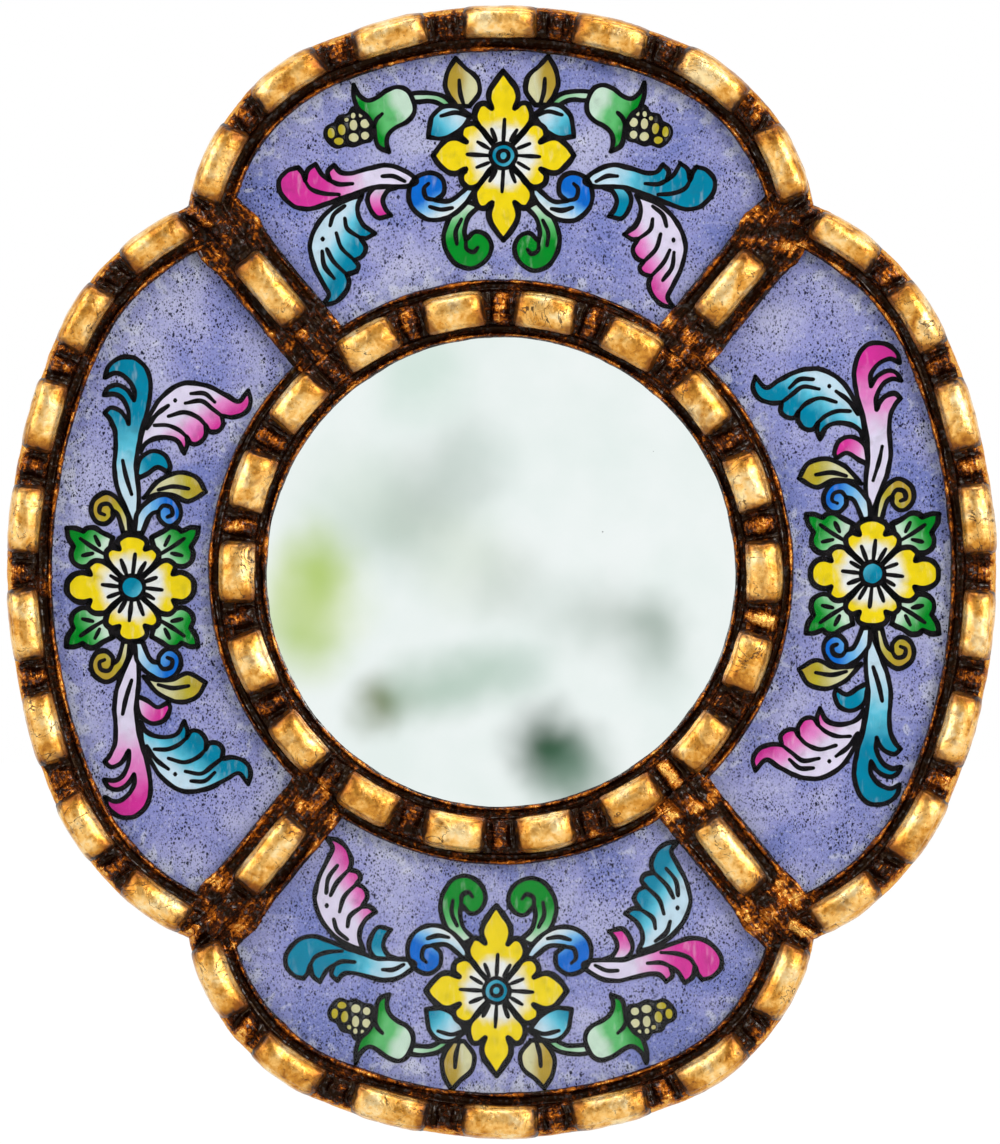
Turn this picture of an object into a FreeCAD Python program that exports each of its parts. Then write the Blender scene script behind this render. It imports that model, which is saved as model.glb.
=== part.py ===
# Hand-painted glass wall mirror: a four-lobed gilt frame on a board, four painted panes and a round mirror.
# Millimetres. +Z is up, the front faces -Y, and the origin is the middle of the board's back, on the wall.
import FreeCAD
import Part
import math
import os

# Outline: tall lobes at top and bottom and wide lobes at the sides, each a crown arc and two shoulder arcs
TALL_APEX = 100.0
TALL_CROWN_RADIUS = 83.0
TALL_CROWN_HALF_ANGLE = 22.5
TALL_SHOULDER_RADIUS = 39.5
WIDE_APEX = 87.5
WIDE_CROWN_RADIUS = 103.5
WIDE_CROWN_HALF_ANGLE = 23.5
WIDE_SHOULDER_RADIUS = 45.5

# Depth, from the wall towards the front
BOARD_THICKNESS = 6.5
BOARD_INSET = 0.9
GLASS_THICKNESS = 2.0
GLASS_BED = 0.3

# Mouldings: a rounded core that carries the blocks, and a beaded lip that holds the glass
CROWN_HEIGHT = 4.8
CROWN_ROUND = 1.3
LIP_EDGE = 0.5
LIP_GAP = 0.1
CHANNEL_WIDTH = 0.5
BEAD_RISE = 0.55
REBATE_WIDTH = 1.5
GLASS_CLEARANCE = 0.3

# Outer rails, measured inwards from the outline
RAIL_EDGE_INSET = 0.5
RAIL_CORE_EDGE = 6.0
RAIL_WIDTH = 8.4

# Ring round the mirror and the four spokes, measured from their centrelines
RING_RADIUS = 46.5
RING_CORE_HALF = 3.2
RING_INNER_HALF = 5.2
RING_OUTER_HALF = 5.0
SPOKE_CORE_HALF = 2.5
SPOKE_HALF = 5.5
SPOKE_CROWN_HEIGHT = 4.5

# Gilt blocks
BLOCK_RISE = 2.2
BLOCK_CORNER_ROUND = 1.1
BLOCK_TOP_ROUND = 1.0
RAIL_BLOCK_WIDTH = 6.2
RAIL_BLOCK_GAP = 5.2
TALL_BLOCK_COUNT = 7
WIDE_BLOCK_COUNT = 8
RING_BLOCK_WIDTH = 6.7
RING_BLOCK_GAP = 4.7
RING_BLOCK_COUNT = 18
SPOKE_BLOCK_WIDTH = 5.3
SPOKE_BLOCK_LENGTH = 15.0

# Wire brads that hold the mouldings to the board from behind
BRAD_RADIUS = 0.6
BRAD_LENGTH = 9.6
BRAD_HEAD_RADIUS = 1.2
BRAD_HEAD_THICKNESS = 0.5
BRAD_HEAD_SINK = 0.1
RING_BRAD_BEARINGS = (60.0, 120.0, 240.0, 300.0)

# Hanger: a folded strap with a D-shaped wire ring, in a pocket in the board's back
POCKET_DEPTH = 3.2
POCKET_HALF_WIDTH = 8.6
POCKET_END_CLEARANCE = 1.2
STRAP_THICKNESS = 0.6
STRAP_WIDTH = 8.0
STRAP_TAIL = 4.6
SCREW_TO_HINGE = 6.4
WIRE_RADIUS = 0.8
HINGE_CLEARANCE = 0.05
EYE_HALF_WIDTH = 6.0
EYE_CORNER_RADIUS = 1.6
EYE_LEG = 2.8
RING_SEAT_GAP = 0.1
SCREW_RADIUS = 1.25
SCREW_HOLE_CLEARANCE = 0.1
SCREW_LENGTH = 7.4
SCREW_TIP = 1.4
SCREW_HEAD_RADIUS = 2.4
SCREW_HEAD_HEIGHT = 1.5
SCREW_HEAD_ROUND = 0.7
SCREW_SLOT_WIDTH = 0.7
SCREW_SLOT_DEPTH = 0.7

# Construction allowances
MITRE_OVERRUN_ANGLE = 15.0
REACH = 60.0
COPE_DEPTH = 1.0
COPE_TOLERANCE = 0.0001

# Heights above the board's front face
GLASS_FRONT = GLASS_BED + GLASS_THICKNESS
LIP_UNDERSIDE = GLASS_FRONT + LIP_GAP
LIP_TOP = LIP_UNDERSIDE + LIP_EDGE
BLOCK_TOP = CROWN_HEIGHT + BLOCK_RISE

# Places of the hanger
POCKET_FLOOR = -POCKET_DEPTH
KNUCKLE_BORE = WIRE_RADIUS + HINGE_CLEARANCE
KNUCKLE_RADIUS = KNUCKLE_BORE + STRAP_THICKNESS
HINGE_Y = POCKET_FLOOR + KNUCKLE_RADIUS
HINGE_Z = RING_RADIUS + SCREW_TO_HINGE
EYE_REACH = EYE_CORNER_RADIUS + EYE_LEG + EYE_HALF_WIDTH

ORIGIN = FreeCAD.Vector(0, 0, 0)
Y_AXIS = FreeCAD.Vector(0, 1, 0)


def point(x, z, height):
    """A point at a height above the board's front face."""
    return FreeCAD.Vector(x, -(BOARD_THICKNESS + height), z)


def turned(shape, bearing):
    """A copy of a shape turned about the middle of the mirror, clockwise as seen from the front."""
    copy = shape.copy()
    copy.rotate(ORIGIN, Y_AXIS, bearing)
    return copy


def polar(bearing, distance):
    """The x and z of a point at a bearing from straight up and a distance."""
    return distance * math.sin(math.radians(bearing)), distance * math.cos(math.radians(bearing))


def bearing_of(x, z):
    """The bearing of a direction, clockwise from straight up."""
    return math.degrees(math.atan2(x, z))


def slab(points, low, high):
    """A flat outline of x and z pairs, made solid between two heights above the board."""
    corners = [point(x, z, low) for x, z in points]
    face = Part.Face(Part.makePolygon(corners + corners[:1]))
    return face.extrude(point(0, 0, high) - point(0, 0, low))


def disc(radius, low, high, x=0.0, z=0.0):
    """A round plate between two heights above the board."""
    return Part.makeCylinder(radius, high - low, point(x, z, low), -Y_AXIS)


class Lobe:
    """One lobe of the outline, drawn pointing up and turned to its bearing at the end."""

    def __init__(self, apex, crown_radius, crown_half_angle, shoulder_radius, block_count):
        self.crown_radius = crown_radius
        self.half_angle = crown_half_angle
        self.shoulder_radius = shoulder_radius
        self.block_count = block_count
        self.crown_centre = (0.0, apex - crown_radius)
        across, out = polar(crown_half_angle, crown_radius - shoulder_radius)
        self.shoulder_centre = (across, apex - crown_radius + out)

    def shoulder_sweep(self, across, out):
        """The angle of shoulder arc from the crown's end to a point on that side."""
        cx, cz = self.shoulder_centre
        return bearing_of(across - cx, out - cz) - self.half_angle

    def arcs(self, sweep):
        """Centre, outline radius, first bearing and sweep of the three arcs, left to right."""
        cx, cz = self.shoulder_centre
        return [
            ((-cx, cz), self.shoulder_radius, -self.half_angle - sweep, sweep),
            (self.crown_centre, self.crown_radius, -self.half_angle, 2 * self.half_angle),
            ((cx, cz), self.shoulder_radius, self.half_angle, sweep),
        ]

    def along(self, distance, offset):
        """Place and bearing on the line at an offset inside the outline, from the lobe's middle."""
        crown_reach = math.radians(self.half_angle) * (self.crown_radius - offset)
        centre, radius = self.crown_centre, self.crown_radius - offset
        bearing = math.degrees(abs(distance) / radius)
        if abs(distance) > crown_reach:
            centre, radius = self.shoulder_centre, self.shoulder_radius - offset
            bearing = self.half_angle + math.degrees((abs(distance) - crown_reach) / radius)
        across, out = polar(bearing, radius)
        side = math.copysign(1.0, distance)
        return side * (centre[0] + across), centre[1] + out, side * bearing

    def half_length(self, corner, offset):
        """Length of the line at an offset, from the lobe's middle to its corner with the next lobe."""
        crown = math.radians(self.half_angle) * (self.crown_radius - offset)
        return crown + math.radians(self.shoulder_sweep(*corner)) * (self.shoulder_radius - offset)

    def region(self, offset, low, high):
        """The lobe's area inside an offset of the outline, down to the middle of the mirror."""
        sweep = self.shoulder_sweep(*corner_in_lobe(self, 0.0)) + MITRE_OVERRUN_ANGLE
        edges = []
        for (cx, cz), radius, start, turn in self.arcs(sweep):
            rim = [polar(start + turn * share, radius - offset) for share in (0.0, 0.5, 1.0)]
            edges.append(Part.Arc(*[point(cx + x, cz + z, low) for x, z in rim]).toShape())
        first, last = edges[0].Vertexes[0].Point, edges[-1].Vertexes[-1].Point
        middle = point(0, 0, low)
        edges += [Part.LineSegment(last, middle).toShape(), Part.LineSegment(middle, first).toShape()]
        return Part.Face(Part.Wire(edges)).extrude(point(0, 0, high) - point(0, 0, low))


TALL = Lobe(TALL_APEX, TALL_CROWN_RADIUS, TALL_CROWN_HALF_ANGLE, TALL_SHOULDER_RADIUS, TALL_BLOCK_COUNT)
WIDE = Lobe(WIDE_APEX, WIDE_CROWN_RADIUS, WIDE_CROWN_HALF_ANGLE, WIDE_SHOULDER_RADIUS, WIDE_BLOCK_COUNT)
LOBES = {"top": (TALL, 0.0), "right": (WIDE, 90.0), "bottom": (TALL, 180.0), "left": (WIDE, 270.0)}


def corner(offset):
    """Where the top and right lobes meet, at an offset inside the outline."""
    tall_x, tall_z = TALL.shoulder_centre
    wide_z, wide_x = WIDE.shoulder_centre
    tall_radius = TALL.shoulder_radius - offset
    wide_radius = WIDE.shoulder_radius - offset
    gap_x, gap_z = wide_x - tall_x, wide_z - tall_z
    gap = math.hypot(gap_x, gap_z)
    along = (tall_radius**2 - wide_radius**2 + gap**2) / (2 * gap)
    across = math.sqrt(tall_radius**2 - along**2)
    unit_x, unit_z = gap_x / gap, gap_z / gap
    return tall_x + along * unit_x - across * unit_z, tall_z + along * unit_z + across * unit_x


def corner_in_lobe(lobe, offset):
    """The same corner, as across and out in a lobe's own drawing."""
    x, z = corner(offset)
    return (x, z) if lobe is TALL else (z, x)


SPOKE_BEARING = bearing_of(*corner(RAIL_WIDTH))
SPOKE_MIDDLE = (RING_RADIUS + RING_OUTER_HALF + math.hypot(*corner(RAIL_WIDTH))) / 2
QUADRANTS = {"top_right": (1, 1), "bottom_right": (1, -1), "bottom_left": (-1, -1), "top_left": (-1, 1)}


def in_quadrant(shape, x_side, z_side):
    """A shape of the top right quadrant, mirrored to the quadrant whose signs are given."""
    if x_side < 0:
        shape = shape.mirror(ORIGIN, FreeCAD.Vector(1, 0, 0))
    if z_side < 0:
        shape = shape.mirror(ORIGIN, FreeCAD.Vector(0, 0, 1))
    return shape


def lip_side(core_half, half, side, crown=CROWN_HEIGHT):
    """Section lines from the board up to the core's top, along a side that holds glass."""
    foot = half - REBATE_WIDTH
    stations = [(foot, 0), (foot, LIP_UNDERSIDE), (half, LIP_UNDERSIDE), (half, LIP_TOP)]
    lines = [("line", a, b) for a, b in zip(stations, stations[1:])]
    return mirrored(lines + lip_top(core_half, half, crown), side)


def cope_side(core_half, half, side):
    """The same side for shaping what butts against it: solid under the lip and below the board's face."""
    lines = [("line", (half, -COPE_DEPTH), (half, LIP_TOP))]
    return mirrored(lines + lip_top(core_half, half, CROWN_HEIGHT), side)


def lip_top(core_half, half, crown):
    """Section lines from a lip's edge over its bead and channel to the core's top."""
    channel = core_half + CHANNEL_WIDTH
    bead = ((channel + half) / 2, LIP_TOP + BEAD_RISE)
    return [
        ("arc", (half, LIP_TOP), bead, (channel, LIP_TOP)),
        ("line", (channel, LIP_TOP), (core_half, crown - CROWN_ROUND)),
        crown_arc(core_half, crown),
    ]


def wall_side(half, side, low=0.0):
    """Section lines from a low edge up to the core's top, along a plain outer wall."""
    lines = [("line", (half, low), (half, CROWN_HEIGHT - CROWN_ROUND)), crown_arc(half, CROWN_HEIGHT)]
    return mirrored(lines, side)


def crown_arc(core_half, crown):
    """The quarter round from a core's side to its top."""
    bend = CROWN_ROUND * (1 - math.sqrt(0.5))
    middle = (core_half - bend, crown - bend)
    return ("arc", (core_half, crown - CROWN_ROUND), middle, (core_half - CROWN_ROUND, crown))


def mirrored(lines, side):
    """Section lines moved to the side whose sign is given."""
    return [(kind, *[(side * t, h) for t, h in stations]) for kind, *stations in lines]


def section(left, right, place):
    """A closed moulding section from its two sides; place puts across and height in space."""
    base = ("line", left[0][1], right[0][1])
    top = ("line", left[-1][-1], right[-1][-1])
    edges = []
    for kind, *stations in left + right + [base, top]:
        corners = [place(t, h) for t, h in stations]
        curve = Part.Arc(*corners) if kind == "arc" else Part.LineSegment(*corners)
        edges.append(curve.toShape())
    return Part.Face(Part.Wire(Part.__sortEdges__(edges)))


def spun(left, right, centre, radius, start, sweep):
    """A moulding section swept round an arc; the section's positive side faces the arc's centre."""
    pivot = point(*centre, 0)
    face = section(left, right, lambda t, h: point(centre[0], centre[1] + radius - t, h))
    face.rotate(pivot, Y_AXIS, start)
    return face.revolve(pivot, Y_AXIS, sweep)


def mitre_clip(lobe):
    """The share of the frame that belongs to a lobe, cut along the mitres with its neighbours."""
    inner, outer = corner_in_lobe(lobe, RAIL_WIDTH), corner_in_lobe(lobe, 0.0)
    run_across, run_out = outer[0] - inner[0], outer[1] - inner[1]
    far = (outer[0] + run_across, outer[1] + run_out)
    near = (inner[0] - run_across / 2, inner[1] - run_out / 2)
    half = [(0, near[1]), near, far, (far[0], lobe.crown_radius + lobe.crown_centre[1] + REACH)]
    other = [(-across, out) for across, out in reversed(half[1:])]
    return slab(half + other, -BOARD_THICKNESS, BOARD_THICKNESS + BLOCK_TOP)


def rail(lobe):
    """A lobe's outer rail, pointing up: three arcs of one section, mitred at both ends."""
    centreline = RAIL_BLOCK_WIDTH / 2
    outer = wall_side(centreline - RAIL_EDGE_INSET, -1)
    inner = lip_side(RAIL_CORE_EDGE - centreline, RAIL_WIDTH - centreline, 1)
    sweep = lobe.shoulder_sweep(*corner_in_lobe(lobe, 0.0)) + MITRE_OVERRUN_ANGLE
    runs = [
        spun(outer, inner, centre, radius - centreline, start, turn)
        for centre, radius, start, turn in lobe.arcs(sweep)
    ]
    return runs[0].fuse(runs[1:]).common(mitre_clip(lobe)).removeSplitter()


def shoulder_cope(lobe, side):
    """A whole turn of a shoulder's rail section, solid under its lip, which shapes a spoke's outer end."""
    centreline = RAIL_BLOCK_WIDTH / 2
    outer = wall_side(centreline - RAIL_EDGE_INSET, -1, -COPE_DEPTH)
    inner = cope_side(RAIL_CORE_EDGE - centreline, RAIL_WIDTH - centreline, 1)
    across, out = lobe.shoulder_centre
    return spun(outer, inner, (side * across, out), lobe.shoulder_radius - centreline, 0, 360)


def ring(side=lip_side):
    """The ring moulding round the mirror, with a glass lip on both sides."""
    outer = side(RING_CORE_HALF, RING_OUTER_HALF, -1)
    inner = side(RING_CORE_HALF, RING_INNER_HALF, 1)
    return spun(outer, inner, (0, 0), RING_RADIUS, 0, 360)


def spoke_bar(start, end):
    """A length of spoke moulding on the top right diagonal, between two distances from the middle."""
    left = lip_side(SPOKE_CORE_HALF, SPOKE_HALF, -1, SPOKE_CROWN_HEIGHT)
    right = lip_side(SPOKE_CORE_HALF, SPOKE_HALF, 1, SPOKE_CROWN_HEIGHT)
    face = section(left, right, lambda t, h: point(t, start, h))
    return turned(face.extrude(FreeCAD.Vector(0, 0, end - start)), SPOKE_BEARING)


def mitre_side(lobe):
    """All that lies on a lobe's side of the mitre at the top right notch."""
    inner, outer = corner(RAIL_WIDTH), corner(0.0)
    length = math.dist(inner, outer)
    run_x, run_z = (outer[0] - inner[0]) / length * REACH, (outer[1] - inner[1]) / length * REACH
    aside_x, aside_z = (-run_z, run_x) if lobe is TALL else (run_z, -run_x)
    ends = [(inner[0] - run_x, inner[1] - run_z), (outer[0] + run_x, outer[1] + run_z)]
    beyond = [(x + aside_x, z + aside_z) for x, z in reversed(ends)]
    return slab(ends + beyond, -BOARD_THICKNESS, BOARD_THICKNESS + BLOCK_TOP)


def spoke():
    """The top right spoke, coped to the ring and to the two rails that meet at its outer end."""
    inner = spoke_bar(RING_RADIUS, SPOKE_MIDDLE).cut([ring(cope_side)], COPE_TOLERANCE)
    outer = spoke_bar(SPOKE_MIDDLE, math.hypot(*corner(RAIL_EDGE_INSET)))
    halves = []
    for lobe, cope in ((TALL, shoulder_cope(TALL, 1)), (WIDE, turned(shoulder_cope(WIDE, -1), 90.0))):
        half = outer.common(mitre_side(lobe)).cut([cope], COPE_TOLERANCE)
        halves.append(max(half.Solids, key=lambda solid: solid.Volume))
    whole = inner.fuse(halves, COPE_TOLERANCE).removeSplitter()
    return max(whole.Solids, key=lambda solid: solid.Volume)


def block(length, width, crown=CROWN_HEIGHT):
    """A gilt block for a core of some height: length along X, width along Z, rounded at the front."""
    foot, top = crown - CROWN_ROUND, crown + BLOCK_RISE
    corner_point = point(-length / 2, -width / 2, top)
    box = Part.makeBox(length, top - foot, width, corner_point)
    upright = [edge for edge in box.Edges if edge.Length == edge.BoundBox.YLength]
    box = box.makeFillet(BLOCK_CORNER_ROUND, upright)
    front = [edge for edge in box.Edges if edge.BoundBox.YMax <= corner_point.y + BLOCK_TOP_ROUND / 2]
    return box.makeFillet(BLOCK_TOP_ROUND, front)


def placed(shape, x, z, bearing):
    """A copy of a shape turned to a bearing and moved to a place on the front."""
    copy = turned(shape, bearing)
    copy.translate(FreeCAD.Vector(x, 0, z))
    return copy


def rail_blocks(lobe, seat):
    """The blocks along a lobe's rail, evenly spaced between its two mitres."""
    centreline = RAIL_BLOCK_WIDTH / 2
    half = lobe.half_length(corner_in_lobe(lobe, centreline), centreline)
    pitch = 2 * half / lobe.block_count
    blank = block(pitch - RAIL_BLOCK_GAP, RAIL_BLOCK_WIDTH)
    middles = [(i + 0.5) * pitch - half for i in range(lobe.block_count)]
    return [placed(blank, *lobe.along(middle, centreline)).cut(seat) for middle in middles]


def ring_blocks(seats):
    """The blocks round the ring, with a gap at twelve o'clock, trimmed where a spoke runs in."""
    pitch = 360.0 / RING_BLOCK_COUNT
    blank = block(math.radians(pitch) * RING_RADIUS - RING_BLOCK_GAP, RING_BLOCK_WIDTH)
    blocks = []
    for number in range(RING_BLOCK_COUNT):
        bearing = (number + 0.5) * pitch
        item = placed(blank, *polar(bearing, RING_RADIUS), bearing)
        for seat in seats:
            item = item.cut(seat)
        blocks.append(item)
    return blocks


def spoke_block(seat):
    """The block on the top right spoke, midway between the ring's lip and the rails' lips."""
    blank = block(SPOKE_BLOCK_LENGTH, SPOKE_BLOCK_WIDTH, SPOKE_CROWN_HEIGHT)
    return placed(blank, *polar(SPOKE_BEARING, SPOKE_MIDDLE), SPOKE_BEARING + 90.0).cut(seat)


def pane(lobe):
    """A lobe's glass, pointing up: tucked under the lips of its rail, its two spokes and the ring."""
    tuck = REBATE_WIDTH - GLASS_CLEARANCE
    half_angle = bearing_of(*corner_in_lobe(lobe, RAIL_WIDTH))
    sheet = lobe.region(RAIL_WIDTH - tuck, GLASS_BED, GLASS_FRONT)
    start = (SPOKE_HALF - tuck) / math.sin(math.radians(half_angle))
    far_across, far_out = polar(half_angle, TALL_APEX + WIDE_APEX)
    wedge = [(0, start), (far_across, start + far_out), (-far_across, start + far_out)]
    hole = disc(RING_RADIUS + RING_OUTER_HALF - tuck, 0, BLOCK_TOP)
    return sheet.common(slab(wedge, 0, BLOCK_TOP)).cut(hole)


def mirror_glass():
    """The round mirror, tucked under the ring's inner lip."""
    radius = RING_RADIUS - RING_INNER_HALF + REBATE_WIDTH - GLASS_CLEARANCE
    return disc(radius, GLASS_BED, GLASS_FRONT)


def brad_places():
    """x and z of every brad: two in each rail, four in the ring and one in each spoke."""
    places = [polar(bearing, RING_RADIUS) for bearing in RING_BRAD_BEARINGS]
    rail_line = (RAIL_EDGE_INSET + RAIL_CORE_EDGE) / 2
    for lobe, bearing in LOBES.values():
        reach = math.radians(lobe.half_angle) * (lobe.crown_radius - rail_line)
        for distance in (-reach, reach):
            across, out, _ = lobe.along(distance, rail_line)
            places.append(polar(bearing + bearing_of(across, out), math.hypot(across, out)))
    across, out = polar(SPOKE_BEARING, SPOKE_MIDDLE)
    places += [(x_side * across, z_side * out) for x_side, z_side in QUADRANTS.values()]
    return places


def brad(x, z):
    """A flat-headed brad driven from the back of the board."""
    head = disc(BRAD_HEAD_RADIUS, BRAD_HEAD_SINK - BOARD_THICKNESS,
                BRAD_HEAD_SINK + BRAD_HEAD_THICKNESS - BOARD_THICKNESS, x, z)
    shank = disc(BRAD_RADIUS, BRAD_HEAD_SINK - BOARD_THICKNESS, BRAD_LENGTH - BOARD_THICKNESS, x, z)
    return head.fuse(shank).removeSplitter()


def screw_blank(radius):
    """The hanger screw's pointed shank, with its head's underside on the strap."""
    under_head = POCKET_FLOOR + STRAP_THICKNESS
    start = FreeCAD.Vector(0, under_head, RING_RADIUS)
    straight = SCREW_LENGTH - SCREW_TIP
    shank = Part.makeCylinder(radius, straight, start, -Y_AXIS)
    tip = Part.makeCone(radius, 0, SCREW_TIP, start - Y_AXIS * straight, -Y_AXIS)
    return shank.fuse(tip)


def hanger_screw():
    """A round-headed wood screw with a crossed slot."""
    under_head = POCKET_FLOOR + STRAP_THICKNESS
    seat = FreeCAD.Vector(0, under_head, RING_RADIUS)
    head = Part.makeCylinder(SCREW_HEAD_RADIUS, SCREW_HEAD_HEIGHT, seat, Y_AXIS)
    rim = [edge for edge in head.Edges if edge.BoundBox.YMin > under_head + SCREW_HEAD_HEIGHT / 2]
    head = head.makeFillet(SCREW_HEAD_ROUND, rim)
    slot_length = 2 * (SCREW_HEAD_RADIUS - SCREW_HEAD_ROUND)
    slot_start = under_head + SCREW_HEAD_HEIGHT - SCREW_SLOT_DEPTH
    slots = []
    for long_x, long_z in ((slot_length, SCREW_SLOT_WIDTH), (SCREW_SLOT_WIDTH, slot_length)):
        low = FreeCAD.Vector(-long_x / 2, slot_start, RING_RADIUS - long_z / 2)
        slots.append(Part.makeBox(long_x, SCREW_SLOT_DEPTH, long_z, low))
    return head.fuse(screw_blank(SCREW_RADIUS)).cut(slots).removeSplitter()


def hanger_strap():
    """A sheet strap on the pocket's floor, curled round the ring's straight bar."""
    low = FreeCAD.Vector(-STRAP_WIDTH / 2, POCKET_FLOOR, RING_RADIUS - STRAP_TAIL)
    plate = Part.makeBox(STRAP_WIDTH, STRAP_THICKNESS, HINGE_Z - low.z, low)
    end = FreeCAD.Vector(-STRAP_WIDTH / 2, HINGE_Y, HINGE_Z)
    along = FreeCAD.Vector(1, 0, 0)
    knuckle = Part.makeCylinder(KNUCKLE_RADIUS, STRAP_WIDTH, end, along)
    bore = Part.makeCylinder(KNUCKLE_BORE, STRAP_WIDTH, end, along)
    hole = screw_blank(SCREW_RADIUS + SCREW_HOLE_CLEARANCE)
    return plate.fuse(knuckle).cut([bore, hole]).removeSplitter()


def wire_bend(x, z, radius, start, sweep):
    """A bend of the ring's wire round a centre above the hinge, in the ring's upright plane."""
    middle = FreeCAD.Vector(x, HINGE_Y, HINGE_Z + z)
    circle = Part.Circle(middle + FreeCAD.Vector(0, 0, radius), FreeCAD.Vector(1, 0, 0), WIRE_RADIUS)
    face = Part.Face(Part.Wire(circle.toShape()))
    face.rotate(middle, Y_AXIS, start)
    return face.revolve(middle, Y_AXIS, sweep)


def wire_run(x, z, direction, length):
    """A straight run of the ring's wire from a point above the hinge."""
    start = FreeCAD.Vector(x, HINGE_Y, HINGE_Z + z)
    return Part.makeCylinder(WIRE_RADIUS, length, start, direction)


def hanger_ring():
    """A D-shaped wire ring, lifted and leaning on the pocket's floor."""
    bar_half = EYE_HALF_WIDTH - EYE_CORNER_RADIUS
    up, along = FreeCAD.Vector(0, 0, 1), FreeCAD.Vector(1, 0, 0)
    pieces = [wire_run(-bar_half, 0, along, 2 * bar_half)]
    for side, start in ((1, 90.0), (-1, 180.0)):
        pieces.append(wire_bend(side * bar_half, EYE_CORNER_RADIUS, EYE_CORNER_RADIUS, start, 90.0))
        pieces.append(wire_run(side * EYE_HALF_WIDTH, EYE_CORNER_RADIUS, up, EYE_LEG))
    pieces.append(wire_bend(0, EYE_CORNER_RADIUS + EYE_LEG, EYE_HALF_WIDTH, -90.0, 180.0))
    eye = pieces[0].fuse(pieces[1:]).removeSplitter()
    lean = math.degrees(math.asin((KNUCKLE_RADIUS - WIRE_RADIUS - RING_SEAT_GAP) / EYE_REACH))
    eye.rotate(FreeCAD.Vector(0, HINGE_Y, HINGE_Z), along, lean)
    return eye


def pocket():
    """The round-ended recess that takes the hanger, long enough for the ring raised or folded down."""
    reach = EYE_REACH + WIRE_RADIUS + POCKET_END_CLEARANCE
    top = HINGE_Z + reach
    bottom = min(HINGE_Z - reach, RING_RADIUS - STRAP_TAIL - POCKET_END_CLEARANCE)
    low = FreeCAD.Vector(-POCKET_HALF_WIDTH, POCKET_FLOOR, bottom)
    box = Part.makeBox(2 * POCKET_HALF_WIDTH, POCKET_DEPTH, top - bottom, low)
    upright = [edge for edge in box.Edges if edge.Length == edge.BoundBox.YLength]
    return box.makeFillet(EYE_HALF_WIDTH, upright)


def back_board(brads):
    """The board that everything is fixed to, cut to the outline, with its pocket and nail holes."""
    lobes = []
    for lobe, bearing in LOBES.values():
        plate = lobe.region(BOARD_INSET, -BOARD_THICKNESS, 0)
        lobes.append(turned(plate.common(board_sector(lobe)), bearing))
    board = lobes[0].fuse(lobes[1:]).removeSplitter()
    sinks = [disc(BRAD_HEAD_RADIUS, -BOARD_THICKNESS, BRAD_HEAD_SINK + BRAD_HEAD_THICKNESS - BOARD_THICKNESS,
                  x, z) for x, z in brad_places()]
    return board.cut([pocket(), screw_blank(SCREW_RADIUS)] + sinks + brads)


def board_sector(lobe):
    """A lobe's share of the board: out along the mitre from the middle of the mirror."""
    outer = corner_in_lobe(lobe, BOARD_INSET)
    far = (2 * outer[0], 2 * outer[1])
    top = (0, lobe.crown_radius + lobe.crown_centre[1] + REACH)
    return slab([(0, 0), far, (far[0], top[1]), (-far[0], top[1]), (-far[0], far[1])], -BOARD_THICKNESS, 0)


def save(name, solids):
    """Writes one sub-part, as one solid or a group of separate solids."""
    shape = solids[0] if len(solids) == 1 else Part.makeCompound(solids)
    shape.exportStep(f"parts/{name}.step")
    volume = sum(solid.Volume for solid in shape.Solids)
    print(f"{name}: {len(shape.Solids)} solids, {volume:.1f} mm3, valid {shape.isValid()}")


def main():
    os.makedirs("parts", exist_ok=True)
    brads = [brad(x, z) for x, z in brad_places()]
    save("back_board", [back_board(brads)])
    save("frame_brads", brads)
    raw_ring = ring()
    save("ring_moulding", [raw_ring.cut(brads + [screw_blank(SCREW_RADIUS)])])
    save("mirror_glass", [mirror_glass()])
    for name, (lobe, bearing) in LOBES.items():
        upright = rail(lobe)
        save(f"rail_{name}", [turned(upright, bearing).cut(brads)])
        save(f"blocks_{name}", [turned(item, bearing) for item in rail_blocks(lobe, upright)])
        save(f"pane_{name}", [turned(pane(lobe), bearing)])
    raw_spoke = spoke()
    for name, sides in QUADRANTS.items():
        save(f"spoke_{name}", [in_quadrant(raw_spoke.cut(brads), *sides)])
        save(f"spoke_block_{name}", [in_quadrant(spoke_block(raw_spoke), *sides)])
    spokes = [in_quadrant(raw_spoke, *sides) for sides in QUADRANTS.values()]
    save("ring_blocks", ring_blocks([raw_ring] + spokes))
    save("hanger_strap", [hanger_strap()])
    save("hanger_ring", [hanger_ring()])
    save("hanger_screw", [hanger_screw()])


main()
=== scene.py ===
"""A wall mirror with four reverse-painted glass panes in a carved, gilded frame of four lobes.

Sizes are in millimetres, as in the part's source, and become metres where a mesh is made. A point of
the front is given by x to the right, z up and a height in front of the board's face.
"""
import logging
import math
from abc import ABC, abstractmethod
from dataclasses import dataclass, field
from enum import Enum
from typing import Iterable, Optional, Sequence, Union

import bmesh
import bpy
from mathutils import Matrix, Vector, noise
from mathutils.geometry import delaunay_2d_cdt


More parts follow.
